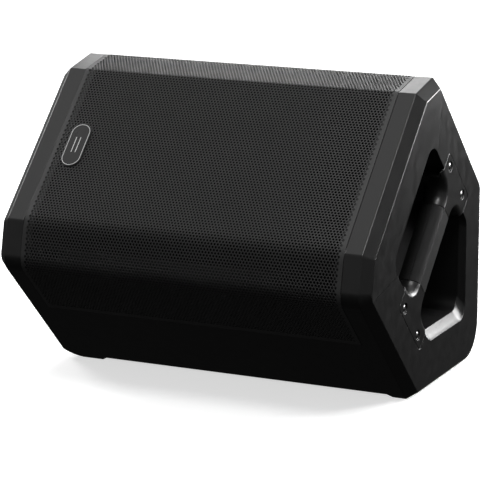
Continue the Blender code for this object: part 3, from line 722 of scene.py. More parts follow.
def camera():
    """Long lens at the photograph's angle."""
    yaw, pitch, roll = (math.radians(a) for a in EYE_TURNS)
    back = Vector((math.sin(yaw) * math.cos(pitch), -math.cos(yaw) * math.cos(pitch), math.sin(pitch)))
    right = Vector((math.cos(yaw), math.sin(yaw), 0.0))
    up = back.cross(right)
    turned_right = right * math.cos(roll) + up * math.sin(roll)
    turned_up = up * math.cos(roll) - right * math.sin(roll)
    lens = bpy.data.cameras.new("camera")
    lens.lens = LENS
    lens.sensor_width = 36.0
    lens.clip_end = 100.0
    eye = add_object("camera", lens)
    turn = Matrix((turned_right, turned_up, back)).transposed().to_4x4()
    eye.matrix_world = Matrix.Translation(EYE) @ turn
    bpy.context.scene.camera = eye


def area_light(name, place, target, wide, tall, power):
    light = bpy.data.lights.new(name, "AREA")
    light.shape = "RECTANGLE"
    light.size = wide
    light.size_y = tall
    light.energy = power
    lamp = add_object(name, light)
    lamp.visible_camera = False
    aim = (Vector(target) - Vector(place)).to_track_quat("-Z", "Y")
    lamp.matrix_world = Matrix.Translation(place) @ aim.to_matrix().to_4x4()


def studio_world():
    """Dim room: dark below the horizon, a little lighter towards the ceiling."""
    world = bpy.data.worlds.new("studio")
    world.use_nodes = True
    tree = world.node_tree
    direction = tree.nodes.new("ShaderNodeTexCoord")
    height = tree.nodes.new("ShaderNodeSeparateXYZ")
    share = fill(tree.nodes.new("ShaderNodeMapRange"), from_min=-1.0)
    ramp = tree.nodes.new("ShaderNodeValToRGB")
    fill_ramp(ramp, ROOM)
    tree.links.new(direction.outputs["Generated"], height.inputs[0])
    tree.links.new(height.outputs["Z"], share.inputs["Value"])
    tree.links.new(share.outputs["Result"], ramp.inputs["Fac"])
    tree.links.new(ramp.outputs["Color"], tree.nodes["Background"].inputs["Color"])
    bpy.context.scene.world = world
    bpy.context.scene.view_settings.view_transform = "Standard"


def studio():
    """Pale floor and backdrop, a large soft light overhead and five smaller ones. The floor glows as painted
    light, and glows less near the wedge as a painted shade round it.
    """
    studio_world()
    for light in LIGHTS:
        area_light(*light)
    floor = block("floor", -FLOOR_REACH, FLOOR_REACH, -FLOOR_REACH, FLOOR_REACH, -20, 0)
    nodes = Nodes("floor")
    nodes.paint(nodes.noise(0.8, 2.0), (0.3, 0.80), (0.7, 0.82))
    # Painted shade: the floor's glow is 0.62 within half a metre of the origin and rises to 1.0 two metres
    # out, so the floor is dimmer where the wedge's shadow falls.
    away = nodes.add("ShaderNodeVectorMath", operation="LENGTH")
    nodes.link(nodes.place, away.inputs[0])
    nodes.uneven(away.outputs["Value"], 0.62, 1.0, 0.5, 2.0, target="Emission Strength")
    fill(nodes.shader, emission_color=(1.0, 1.0, 1.0, 1.0), roughness=0.9, specular_ior_level=0.1)
    floor.data.materials.append(nodes.material)
    backdrop = turned("backdrop", DOME)
    nodes = Nodes("backdrop")
    nodes.paint(nodes.noise(0.4, 2.0), (0.3, 0.99), (0.7, 1.0), target="Emission Color")
    fill(nodes.shader, roughness=1.0, emission_strength=1.0)
    backdrop.data.materials.append(nodes.material)
    for piece in (floor, backdrop):
        piece.visible_glossy = False
        piece.visible_diffuse = False
    backdrop.visible_shadow = False


# ---------------------------------------------------------------- cabinet


def end_stations():
    """(height along X, share of the end's inset) from the +X end inwards, with both edges rounded."""
    half = WIDTH / 2
    path = [(half, END_INSET + 20), (half, END_INSET), (half - END_CHAMFER, 0.0), (half - 40, 0.0)]
    points = rounded(path, [0, EDGE_RADIUS, EDGE_RADIUS, 0], closed=False, steps=4)
    return [(x, inset / END_INSET) for x, inset in points[1:-1]]


def end_to_end(name, left, right):
    """Solid from the -X end to the +X end; both lists of sections run inwards from their end."""
    sections = [along("X", outline, -x) for x, outline in left]
    sections += [along("X", outline, x) for x, outline in reversed(right)]
    return loft(name, sections, FACE)


def cabinet_block():
    """The full outside: an end face, a chamfer, a skid, and the raised belly between the skids."""
    stations = []
    for x, share in end_stations():
        radii = [a + (b - a) * share for a, b in zip(RADII, END_RADII)]
        stations.append((x, inset_section(END_INSET * share, END_BOTTOM_INSET * share, radii)))
    full = inset_section(0.0, 0.0)
    belly = inset_section(0.0, SKID_HEIGHT)
    left, right = (
        [*stations, (inner + SKID_SLOPE, full), (inner, belly)] for inner in (LEFT_SKID_INNER, SKID_INNER)
    )
    return end_to_end("cabinet", left, right)


def cabinet_cavity(wall=WALL):
    half = WIDTH / 2 - wall
    end = inset_section(END_INSET + wall, END_INSET + wall, END_RADII)
    middle = inset_section(wall, SKID_HEIGHT + wall)
    stations = [(half, end), (half - END_CHAMFER, middle)]
    return end_to_end("cavity", stations, stations)


def left_edge_cutter():
    """What the large rounding takes off the bottom edge of the -X end."""
    reach = 40.0
    middle = -WIDTH / 2 + 2 + LEFT_EDGE_RADIUS
    curve = arc(middle, LEFT_EDGE_RADIUS, LEFT_EDGE_RADIUS, 180, 270, 16)
    outer = curve[0][0] - reach
    outline = curve + [(middle, -reach), (outer, -reach), (outer, LEFT_EDGE_RADIUS)]
    return prism("left_edge", outline, "Y", -REACH, REACH)


def grille_path(inset):
    """Section of the front at a depth under the surface: face, both bevels and the flanks."""
    path = [
        (HALF, -GRILLE_DEPTH),
        (HALF, -BEVEL_DROP),
        (FACE_HALF, 0.0),
        (-FACE_HALF, 0.0),
        (-HALF, -BEVEL_DROP),
        (-HALF, -GRILLE_DEPTH),
    ]
    return rounded(offset(path, [-inset] * 5, False), GRILLE_BENDS, False)


def grille_step():
    """Room for the grille between the end frames, a little larger than the sheet."""
    outer = grille_path(-12.0)
    inner = grille_path(GRILLE_SINK + GRILLE_SHEET + GAP)
    for path in (outer, inner):
        for end in (0, -1):
            path[end] = (path[end][0], path[end][1] - GAP)
    half = GRILLE_HALF + GAP
    return prism("grille_step", outer + inner[::-1], "X", -half, half, FACE)


def pocket_outline(inset=0.0, bottom=0.0, rear=0.0):
    """Mouth of the handle pocket: square towards the grille, pointed towards the wedge's rear."""
    point = 0.5 * (POCKET_HIGH - POCKET_LOW)
    corners = [
        (POCKET_HIGH, -POCKET_FRONT),
        (POCKET_HIGH, -POCKET_SHOULDER),
        (HANDLE_MIDDLE, -POCKET_SHOULDER - point),
        (POCKET_LOW, -POCKET_SHOULDER),
        (POCKET_LOW, -POCKET_FRONT),
    ]
    distances = [inset, inset + rear, inset + bottom, inset, inset]
    return rounded(offset(corners, distances), [22.0, 24.0, 20.0, 24.0, 22.0])


def handle_pocket():
    """Ramped at its bottom and rear edges; the ramp ends in an arc against the pocket's wall."""
    half = WIDTH / 2
    ramp, bottom, rear = 11.0, 12.0, 3.0
    steps = 6
    stations = [(half + 5, pocket_outline()), (half, pocket_outline())]
    for i in range(1, steps + 1):
        share = i / steps
        curve = share ** 1.25
        stations.append((half - ramp * share, pocket_outline(0.0, bottom * curve, rear * curve)))
    stations.append((half - POCKET_DEPTH, pocket_outline(1.0, bottom, rear)))
    return loft("pocket", [along("X", outline, x) for x, outline in stations], FACE)


def pocket_tub():
    half = WIDTH / 2
    outline = pocket_outline(-POCKET_WALL)
    return prism("tub", outline, "X", half - POCKET_DEPTH - POCKET_WALL, half - 2, FACE)


def handle_outline(grow=0.0):
    half = HANDLE_LENGTH / 2 + grow
    low, high = HANDLE_MIDDLE - half, HANDLE_MIDDLE + half
    return rectangle(low, high, -HANDLE_REAR - grow, -HANDLE_FRONT + grow, 6.0 + grow)


def screw_spots():
    for y in (HANDLE_MIDDLE - SCREW_SPAN / 2, HANDLE_MIDDLE + SCREW_SPAN / 2):
        for depth in (SCREW_FRONT, SCREW_REAR):
            yield y, depth


def front_region(grow):
    """Everything in front of the shells' seam, which dips behind the handle's finger slot."""
    slab = block("front_region", -REACH, REACH, -REACH, REACH, -SEAM - grow, 60, FACE)
    outline = [
        (HALF - 12.0 + grow, -SEAM + 5),
        (POCKET_HIGH + 9.0 + grow, -88.0 - grow),
        (POCKET_LOW - 4.0 - grow, -88.0 - grow),
        (-HALF + 16.0 - grow, -SEAM + 5),
    ]
    start = WIDTH / 2 - POCKET_DEPTH - POCKET_WALL - 1 - grow
    return join(slab, prism("tongue", outline, "X", start, REACH, FACE))


def panel_tub():
    half = PANEL_WIDE / 2 + POCKET_WALL
    deep = REAR_Y - PANEL_RECESS - 6
    low, high = PANEL_LOW - POCKET_WALL, PANEL_HIGH + POCKET_WALL
    return block("panel_tub", -half, half, deep, REAR_Y - 2, low, high)


def panel_cutters():
    half = PANEL_WIDE / 2
    deep = REAR_Y - PANEL_RECESS - PANEL_SHEET - GAP
    recess = block("recess", -half, half, deep, REAR_Y + 9, PANEL_LOW, PANEL_HIGH)
    low = PANEL_LOW + LEDGE
    high = PANEL_HIGH - LEDGE
    through = block("through", -half + LEDGE, half - LEDGE, deep - 30, REAR_Y, low, high)
    return recess, through


def foot_spots():
    for x in (-LEFT_SKID_INNER - 20.5, SKID_INNER + 15.4):
        for y in (-8.0, 140.0):
            yield x, y


def foot_outline(x, y, grow=0.0):
    wide, long = FOOT_WIDE + grow, FOOT_LONG + grow
    return rectangle(x - wide, x + wide, y - long, y + long, FOOT_CORNER - GAP + grow)


def foot_cutters():
    for i, (x, y) in enumerate(foot_spots()):
        yield prism(f"foot_pocket_{i}", foot_outline(x, y, GAP), "Z", -5, FOOT_TALL + GAP)


def shells():
    """Front moulding, with its baffle, and rear moulding, with the handle pocket and the skids."""
    cabinet = cut(cabinet_block(), left_edge_cutter(), cabinet_cavity())
    left = -WIDTH / 2
    boss = prism("boss", circle(POLE_BOSS, 0, -POLE_DEPTH, 60), "X", left + 2, left + 14, FACE)
    seat = prism("seat", handle_outline(4.0), "X", 244, 257, FACE)
    join(cabinet, pocket_tub(), seat, panel_tub(), boss)
    cut(cabinet, handle_pocket(), grille_step())
    cut(cabinet, prism("tab_recess", handle_outline(GAP), "X", WIDTH / 2 - TAB - GAP, 270, FACE))
    cut(cabinet, *panel_cutters())
    flange, neck, deep = POLE_FLANGE + GAP, POLE_TUBE + GAP, -POLE_RIM - GAP
    rim = [(0, DEEP), (flange, DEEP), (flange, deep), (neck, deep), (neck, -30), (0, -30)]
    cut(cabinet, turned("pole_hole", rim, end_place(POLE_DEPTH, left)))
    cut(cabinet, *foot_cutters())
    soften(cabinet, 0.8)
    settle(cabinet)
    cabinet.name = "rear_moulding"
    front = add_object("front_moulding", cabinet.data.copy())
    keep(front, front_region(0.0))
    join(front, baffle_plate())
    cut(front, *baffle_cutters())
    cut(cabinet, front_region(GAP))
    show(smooth(front), "shell_plastic", ["front_shell"])
    show(smooth(cabinet), "shell_plastic", ["rear_shell"])


def baffle_plate():
    """Slab across the cavity, its edges let into the walls."""
    slab = block("plate", -REACH, REACH, -REACH, REACH, -SEAM, -BAFFLE_FRONT, FACE)
    return keep(slab, cabinet_cavity(WALL - BAFFLE_LET_IN))


def baffle_cutters():
    """Front well, and the holes for the woofer, the horn and both ports."""
    mouth = rectangle(-OPENING_HALF, OPENING_HALF, -OPENING_RISE, OPENING_RISE, 8.0)
    yield prism("well", mouth, "Z", -BAFFLE_FRONT, 40, FACE)
    wide = HORN_WIDE / 2 - 6
    tall = HORN_TALL / 2 - 6
    holes = (
        (WOOFER_X, 0, circle(WOOFER_RADIUS - 14, steps=96)),
        (HORN_X, 0, rectangle(-wide, wide, -tall, tall, 6.0)),
        (PORT_X, -PORT_Y, circle(PORT_RADIUS + GAP)),
        (PORT_X, PORT_Y, circle(PORT_RADIUS + GAP)),
    )
    for x, y, outline in holes:
        yield prism("hole", outline, "Z", -DEEP, 30, face_place(x, y, SEAM + 8))


# ---------------------------------------------------------------- grille


def path_points(path, distances):
    """Points and outward normals at distances along an open outline, as arrays."""
    path = np.array(path)
    steps = np.diff(path, axis=0)
    lengths = np.hypot(steps[:, 0], steps[:, 1])
    reach = np.concatenate([[0.0], np.cumsum(lengths)])
    flat_normals = np.stack([-steps[:, 1], steps[:, 0]], 1) / lengths[:, None]
    corner = flat_normals[:-1] + flat_normals[1:]
    corner /= np.linalg.norm(corner, axis=1)[:, None]
    normals = np.concatenate([flat_normals[:1], corner, flat_normals[-1:]])
    points = np.stack([np.interp(distances, reach, path[:, k]) for k in (0, 1)], 1)
    facing = np.stack([np.interp(distances, reach, normals[:, k]) for k in (0, 1)], 1)
    return points, facing / np.linalg.norm(facing, axis=1)[:, None], reach[-1]


# Flat grid of the perforation: rows of cells up the sheet, and a point every half pitch along them.
SHEET_LENGTH = path_points(grille_path(GRILLE_SINK), np.array([0.0]))[2]
ROWS = int((SHEET_LENGTH - 2 * GRILLE_MARGIN) / HOLE_ROW)
FIRST_LINE = 0.5 * (SHEET_LENGTH - ROWS * HOLE_ROW)
COLUMNS = int((2 * GRILLE_HALF - 2 * GRILLE_SIDE) / HOLE_PITCH - 0.5)
LINE_POINTS = 2 * COLUMNS + 2
HALF_PITCH = HOLE_PITCH / 2
FIRST_POINT = -0.5 * (LINE_POINTS - 1) * HALF_PITCH
ZIGZAG = 0.5 * (2 * HOLE_ROW / 3 - HOLE_ROW / 3)


def grille_sheets():
    """Perforated sheet: six-sided cells in staggered rows, each with a round hole, bent along the path.

    Row j lies between zigzag lines j and j + 1. A zigzag has one point every half pitch, and a cell
    takes three points from the line below it and three from the line above."""
    path = grille_path(GRILLE_SINK)
    bounds = np.linspace(0, ROWS, GRILLE_PIECES + 1).round().astype(int)
    place = np.array(FACE)
    for piece in range(GRILLE_PIECES):
        flat, faces, edge = perforated(int(bounds[piece]), int(bounds[piece + 1]))
        count = len(flat)
        spots, facing, _ = path_points(path, flat[:, 1])
        outer_side = np.column_stack([flat[:, 0], spots])
        inner_side = np.column_stack([flat[:, 0], spots - facing * SHEET_SEEN])
        vertices = np.concatenate([outer_side, inner_side]) * MM
        vertices = vertices @ place[:3, :3].T + place[:3, 3]
        under = [[v + count for v in reversed(face)] for face in faces]
        walls = [[b, a, a + count, b + count] for a, b in edge]
        mesh = bpy.data.meshes.new(f"grille_sheet_{piece + 1}")
        mesh.from_pydata(vertices, [], faces + under + walls)
        sheet = add_object(mesh.name, mesh)
        mesh.shade_smooth()
        mesh.set_sharp_from_angle(angle=math.radians(SMOOTH_BELOW))
        show(sheet, "grille_steel", ["grille"] if piece == 0 else ())


def perforated(first, last):
    """One band of the flat sheet: its (x, distance) points, its faces, and its open edges in order."""
    flat = []
    faces = []

    def spot(x, s):
        flat.append((x, s))
        return len(flat) - 1

    def strip(below, above):
        for i in range(len(below) - 1):
            faces.append((below[i], below[i + 1], above[i + 1], above[i]))

    zigzags = []
    for line in range(first, last + 1):
        middle = FIRST_LINE + line * HOLE_ROW
        ids = [spot(-GRILLE_HALF, middle)]
        for k in range(LINE_POINTS):
            lift = -ZIGZAG if (k - line) % 2 == 1 else ZIGZAG
            ids.append(spot(FIRST_POINT + k * HALF_PITCH, middle + lift))
        ids.append(spot(GRILLE_HALF, middle))
        zigzags.append(ids)
    holes = []
    for row in range(first, last):
        low, high = zigzags[row - first], zigzags[row - first + 1]
        shift = row % 2
        s = FIRST_LINE + (row + 0.5) * HOLE_ROW
        plain = 1 if shift else LINE_POINTS - 1
        strip(low[:2], high[:2])
        strip(low[-2:], high[-2:])
        strip(low[plain : plain + 2], high[plain : plain + 2])
        for column in range(COLUMNS):
            k = 2 * column + 1 + shift
            x = FIRST_POINT + k * HALF_PITCH
            ring = []
            for i in range(HOLE_SIDES):
                turn = math.tau * (i + 0.5) / HOLE_SIDES - math.pi / 2
                ring.append(spot(x + HOLE_RADIUS * math.cos(turn), s + HOLE_RADIUS * math.sin(turn)))
            holes.append(ring)
            cell = [low[k + 1], low[k + 2], high[k + 2], high[k + 1], high[k], low[k]]
            for side in range(6):
                a, b = cell[side], cell[(side + 1) % 6]
                i = 2 * side
                faces.append((a, b, ring[(i + 2) % HOLE_SIDES], ring[(i + 1) % HOLE_SIDES], ring[i]))
    if first == 0:
        zigzags.insert(0, [spot(flat[v][0], 0.0) for v in zigzags[0]])
        strip(*zigzags[:2])
    if last == ROWS:
        zigzags.append([spot(flat[v][0], SHEET_LENGTH) for v in zigzags[-1]])
        strip(*zigzags[-2:])
    left_side = [ids[0] for ids in zigzags]
    right_side = [ids[-1] for ids in zigzags]
    loop = zigzags[0] + right_side[1:] + zigzags[-1][::-1][1:] + left_side[::-1][1:-1]
    edge = [(loop[i], loop[(i + 1) % len(loop)]) for i in range(len(loop))]
    for ring in holes:
        edge += [(ring[(i + 1) % HOLE_SIDES], ring[i]) for i in range(HOLE_SIDES)]
    return np.array(flat), faces, edge


def foam():
    edge = FACE_HALF + FOAM_RUN
    drop = -BEVEL_DROP * FOAM_RUN / BEVEL_RUN
    path = [(edge, drop), (FACE_HALF, 0.0), (-FACE_HALF, 0.0), (-edge, drop)]
    behind = GRILLE_SINK + GRILLE_SHEET + GAP
    outside, inside = (
        rounded(offset(path, [-depth] * 3, False), [0, 3, 8, 0], False)
        for depth in (behind, behind + FOAM_THICK)
    )
    half = OPENING_HALF - 2
    layer = prism("foam_layer", outside + inside[::-1], "X", -half, half, FACE)
    show(smooth(layer), "grille_foam", ["grille_foam"])


def badge():
    """Plain oval plate with a thin raised rim and two plain bars; it carries no mark."""
    place = face_place(BADGE_X, 0, GRILLE_SINK - GAP)
    outline = rectangle(-BADGE_WIDE, BADGE_WIDE, -BADGE_TALL, BADGE_TALL, BADGE_WIDE - 0.1, steps=16)
    layers = [(0.0, 0.0), (0.0, 1.6), (0.3, 2.1), (0.9, 2.3)]
    plate = loft("badge_plate", stepped(outline, layers), place)
    show(smooth(plate), "badge_plate", ["badge"])
    rim = hoop("badge_rim", stepped(outline, [(2.0, 2.25), (2.0, 2.5), (2.7, 2.5), (2.7, 2.25)]), place)
    stripes = [rectangle(x - 0.5, x + 0.5, -12, 12, 0.45, 3) for x in (-3, 3)]
    bars = [prism("bar", stripe, "Z", 2.25, 2.5, place) for stripe in stripes]
    show(merge("badge_trim", [rim, *bars]), "badge_plate", look="can_aluminium")


# ---------------------------------------------------------------- handle


def bar_half(x):
    """Half the round bar's width at a height along X; its flat face lies in the end face."""
    from_axis = x - (WIDTH / 2 - GRIP_AXIS)
    return math.sqrt(max(0.0, GRIP_RADIUS**2 - from_axis**2))


def bar_section():
    """Section of the bar, from one edge of its flat face round the back to the other."""
    edge = math.acos(GRIP_AXIS / GRIP_RADIUS)
    turns = [edge + (math.tau - 2 * edge) * i / BAR_STEPS for i in range(BAR_STEPS + 1)]
    axis = WIDTH / 2 - GRIP_AXIS
    return [(axis + GRIP_RADIUS * math.cos(t), -GRIP_DEPTH + GRIP_RADIUS * math.sin(t)) for t in turns]


def notch_outline(near, far, radius, grow):
    """Finger opening between the bar and the tab's edge; grow moves it towards its mouth's size."""
    low = POCKET_LOW + 0.5 + LIP - grow
    high = POCKET_HIGH - 0.5 - LIP + grow
    return rectangle(low, high, -max(near, far), -min(near, far), radius - LIP + grow, steps=16)


def notch(side, far, radius):
    """One of the two finger openings beside the bar; its ends flare out in a round lip."""
    end = WIDTH / 2
    edge = math.acos(GRIP_AXIS / GRIP_RADIUS)
    heights = [end - BRIDGE - 20]
    for i in range(LIP_STEPS + 1):
        turn = math.pi + (edge - math.pi) * i / LIP_STEPS
        heights.append(end - GRIP_AXIS + GRIP_RADIUS * math.cos(turn))
    heights.append(end + 20)
    sections = []
    for x in heights:
        share = min(1.0, max(0.0, (x - end + LIP_DEEP) / LIP_DEEP))
        near = GRIP_DEPTH + side * bar_half(min(x, end))
        outline = notch_outline(near, far, radius, LIP * (1 - math.sqrt(1 - share**2)))
        sections.append(along("X", outline, x))
    return loft("notch", sections, FACE)


def handle():
    end = WIDTH / 2
    middle = HANDLE_MIDDLE
    axis = end - GRIP_AXIS
    bracket = prism("handle_bridge", handle_outline(), "X", end - TAB, end, FACE)
    bridge = rectangle(POCKET_LOW + 2, POCKET_HIGH - 2, -HANDLE_REAR + 6, -HANDLE_FRONT - 6, 4.0)
    join(bracket, prism("bridge", bridge, "X", end - BRIDGE, end - 1, FACE))
    cut(bracket, notch(-1, 60.0, 30.0), notch(1, 290.0, 28.0))
    reach = GRIP_RADIUS + 2
    sleeve = GRIP_HALF + GAP
    low, high = -GRIP_DEPTH - reach, -GRIP_DEPTH + reach
    waist = block("waist", axis - reach, axis + reach, middle - sleeve, middle + sleeve, low, high, FACE)
    cut(bracket, cut(waist, around_bar("core", GRIP_CORE / 2)))
    for y, depth in screw_spots():
        hole = [(0, -3), (6.8, -3), (6.8, 2.6), (2.6, 2.6), (2.6, DEEP), (0, DEEP)]
        cut(bracket, turned("bore", hole, end_place(depth, end, y), 36))
    show(soften(bracket, 1.0), "shell_plastic", ["handle_bracket"])
    grip = prism("grip_sleeve", bar_section(), "Y", middle - GRIP_HALF, middle + GRIP_HALF, FACE)
    cut(grip, around_bar("grip_bore", GRIP_CORE / 2 + GAP))
    for side in (-1, 1):
        z = -GRIP_DEPTH - side * (GRIP_RADIUS - 0.1)
        low, high = middle - CORE_REACH, middle + CORE_REACH
        cut(grip, block("parting", axis + 1.8, axis + 2.3, low, high, z - 0.4, z + 0.4, FACE))
    show(soften(grip, 0.6), "grip_plastic", ["handle_grip"])
    for i, (y, depth) in enumerate(screw_spots(), 1):
        cross_screw(f"handle_screw_{i}", end_place(depth, end - 0.1, y))


def around_bar(name, half):
    """Square bar round the grip's axis, longer than the grip."""
    axis = WIDTH / 2 - GRIP_AXIS
    outline = rectangle(axis - half, axis + half, -GRIP_DEPTH - half, -GRIP_DEPTH + half)
    return prism(name, outline, "Y", HANDLE_MIDDLE - CORE_REACH, HANDLE_MIDDLE + CORE_REACH, FACE)


def cross(head, place, first, half_long, half_wide, low, high):
    """Cuts a screw's cross slot, its first arm at an angle in degrees."""
    for turn in (first, first + 90):
        cut(head, bar("slot", half_long, half_wide, low, high, spun(place, turn)))
    return head


def cross_screw(node, place):
    """Cross-head pan screw; its axis runs into the wedge."""
    radius, tall = 4.8, 2.1
    turns = [math.radians(a) for a in range(0, 91, 15)]
    dome = [(radius * math.sin(t), tall - tall * math.cos(t)) for t in turns]
    profile = [*dome, (radius, 2.4), (2.0, 2.4), (2.0, 11), (0, 12)]
    screw = turned(f"{node}_head", profile, place, 32)
    show(smooth(cross(screw, place, 20, 2.6, 0.45, -1, 1.5)), "bright_screw", [node])


# ---------------------------------------------------------------- drivers


def arc(x, z, radius, first, last, steps=12, tall=None):
    """Points of a turned profile along an arc or half ellipse, between two angles in degrees."""
    tall = radius if tall is None else tall
    turns = [math.radians(first + (last - first) * i / steps) for i in range(steps + 1)]
    return [(x + radius * math.cos(t), z + tall * math.sin(t)) for t in turns]


def on_axis(profile):
    """Profile whose last point is moved onto the axis."""
    return [*profile[:-1], (0, profile[-1][1])]


def woofer():
    """Twelve-inch driver; local Z points out of the grille and Z = 0 is the baffle's front."""
    place = face_place(WOOFER_X, 0, BAFFLE_FRONT)
    rim = WOOFER_RADIUS
    wall = [
        (rim, GAP), (rim, 5.5), (rim - 17, 5.5), (rim - 17, 1), (80, -78), (39, -78), (39, -82), (82, -82),
        (rim - 15, -2), (rim - 15, GAP),
    ]
    basket = turned("woofer_basket", wall, place, 96)
    window = rounded([(90, -28), (125, -38), (125, 38), (90, 28)], [6, 8, 8, 6], steps=5)
    for i in range(6):
        cut(basket, prism("window", window, "Z", -52, -12, spun(place, 60 * i)))
    show(soften(basket, 0.6), "basket_steel", ["woofer_frame"])
    head = [(0, 0), (3.6, 0), (3.6, 2.6), (3.1, 3.2), (1.9, 3.2), (1.9, 1.4), (0, 1.4)]
    seats = [shifted(spun(place, 45 * i + 22.5), rim - 10, 0, 6.9) for i in range(8)]
    bolts = [turned("bolt", head, seat, 24) for seat in seats]
    show(smooth(merge("woofer_bolts", bolts)), "panel_screw")
    roll = arc(rim - 28, 5.9, 9, 0, 180, 18, tall=8)
    under = arc(rim - 28, 5.9, 7.9, 180, 0, 18, tall=6.9)
    ring = [(rim - 3, 5.8), (rim - 3, 6.8), *roll, *under, (rim - 20, 5.8)]
    show(smooth(turned("woofer_roll", ring, place, 96)), "surround_rubber", ["woofer_surround"])
    mouth = rim - 37.5
    front = []
    for i in range(31):
        radius = mouth - 6 - (mouth - 6 - 39) * i / 30
        share = (radius - 39) / (mouth - 45)
        front.append((radius, -44 + 49.5 * (0.78 * share + 0.22 * share**2) + 0.45 * math.sin(share * 44)))
    back = [(radius + 1, height - 2.1) for radius, height in front[::-1]]
    cone = [(mouth, 5.5), *front, (37.5, -44), (37.5, -46.1), *back, (mouth, 4.2)]
    show(smooth(turned("woofer_diaphragm", cone, place, 96), 50), "cone_paper", ["woofer_cone"], "cone")
    dome = on_axis(arc(0, -37.4, 46, 0, 90, 16, tall=17))
    inside = on_axis(arc(0, -38.5, 44.6, 0, 90, 16, tall=17))[::-1]
    show(smooth(turned("woofer_cap", dome + inside, place)), "cone_paper", ["woofer_dust_cap"], "cone")
    coil = tube(37.2, 36.0, -44.5, -92)
    show(smooth(turned("woofer_winding", coil, place)), "coil_copper", ["woofer_voice_coil"], "cone")
    waves = [(r, -62 - 2 * math.cos(math.pi * (r - 43) / 7)) for r in range(43, 86)]
    waves = [(37.6, -62), *waves, (90.2, -62)]
    web = waves + [(r, z - 0.9) for r, z in waves[::-1]]
    show(smooth(turned("woofer_damper", web, place), 50), "spider_cloth", ["woofer_spider"])
    yoke = [(10, -80), (34.5, -80), (34.5, -112.3), (72, -112.3), (72, -120), (10, -120)]
    magnet_part("woofer_top_plate", tube(38.6, 70, -82.3, -90), place, "magnet_steel")
    magnet_part("woofer_magnet", tube(45, 78, -90.3, -112), place, "ferrite")
    magnet_part("woofer_yoke", yoke, place, "magnet_steel")


def magnet_part(node, profile, place, slot):
    show(soften(turned(f"{node}_ring", profile, place), 0.9), slot, [node])


def horn_sections(shrink, front, back):
    """Rings from a rounded rectangle at the mouth to a circle at the throat."""
    count = 80
    sections = []
    for step in range(HORN_STEPS + 1):
        t = step / HORN_STEPS
        flare = (1 - t) ** 1.7
        wide, tall = (
            THROAT + (size / 2 - HORN_RIM - THROAT) * flare - shrink for size in (HORN_WIDE, HORN_TALL)
        )
        power = 2 / (2 + 5 * (1 - t))
        ring = []
        for i in range(count):
            turn = math.tau * (i + 0.5) / count
            c, s = math.cos(turn), math.sin(turn)
            x = wide * math.copysign(abs(c) ** power, c)
            y = tall * math.copysign(abs(s) ** power, s)
            ring.append((x, y, -front - (back - front) * t))
        sections.append(ring)
    return sections


def horn():
    place = face_place(HORN_X, 0, BAFFLE_FRONT)
    outline = rectangle(-HORN_WIDE / 2, HORN_WIDE / 2, -HORN_TALL / 2, HORN_TALL / 2, 9.0)
    flare = prism("horn_flare", outline, "Z", GAP, 5, place)
    join(flare, loft("flare", horn_sections(0.0, -2.0, HORN_DEPTH), place))
    join(flare, turned("throat", tube(0, 40, -HORN_DEPTH + 4, -HORN_DEPTH), place, 48))
    cut(flare, loft("air", horn_sections(3.0, -6.0, HORN_DEPTH + 2), place))
    for x in (-HORN_WIDE / 2 + 7, HORN_WIDE / 2 - 7):
        for y in (-HORN_TALL / 2 + 7, HORN_TALL / 2 - 7):
            cut(flare, turned("bolt_seat", tube(0, 4.2, 3, DEEP), shifted(place, x, y), 24))
    show(soften(flare, 0.5), "horn_plastic", ["horn"])
    rear = face_place(HORN_X, 0, BAFFLE_FRONT + HORN_DEPTH + GAP)
    radius = DRIVER_RADIUS
    plate = [(14, 0), (radius - 4, 0), (radius - 4, -6), (27, -6), (14, -4)]
    magnet_part("horn_driver_plate", plate, rear, "magnet_steel")
    dome = on_axis(arc(0, -27.6, 22, 0, -90, 12, tall=7))
    inner = on_axis(arc(0, -27.0, 21.1, 0, -90, 12, tall=6.8))[::-1]
    ring = [(31.5, -27.0), (31.5, -27.6)]
    flexing = smooth(turned("compression_dome", ring + dome + inner, rear, 48))
    show(flexing, "diaphragm_titanium", ["horn_diaphragm"], "diaphragm")
    magnet_part("horn_driver_magnet", tube(30, radius, -6 - GAP, -26), rear, "ferrite")
    lip = -26 - GAP
    cover = [
        (33, lip), (radius - 3, lip), (radius - 3, -40), (radius - 8, -46), (0, -46), (0, -42), (33, -42),
    ]
    show(soften(turned("driver_cap", cover, rear), 1.2), "horn_plastic", ["horn_driver_cover"])


def ports():
    radius = PORT_RADIUS
    lip = arc(radius + 1, 2.2 - 2.7, 3.5, 50, 180, 10, tall=2.7)
    tail = [(radius - 2.5, -78), (radius - 0.3, -78), (radius - 0.3, GAP)]
    profile = [(radius + 3.5, GAP), (radius + 3.5, 1.4), *lip, *tail]
    for node, y in (("port_tube_lower", -PORT_Y), ("port_tube_upper", PORT_Y)):
        duct = turned(f"{node}_duct", profile, face_place(PORT_X, y, BAFFLE_FRONT))
        show(smooth(duct), "horn_plastic", [node])


# ---------------------------------------------------------------- pole socket and feet


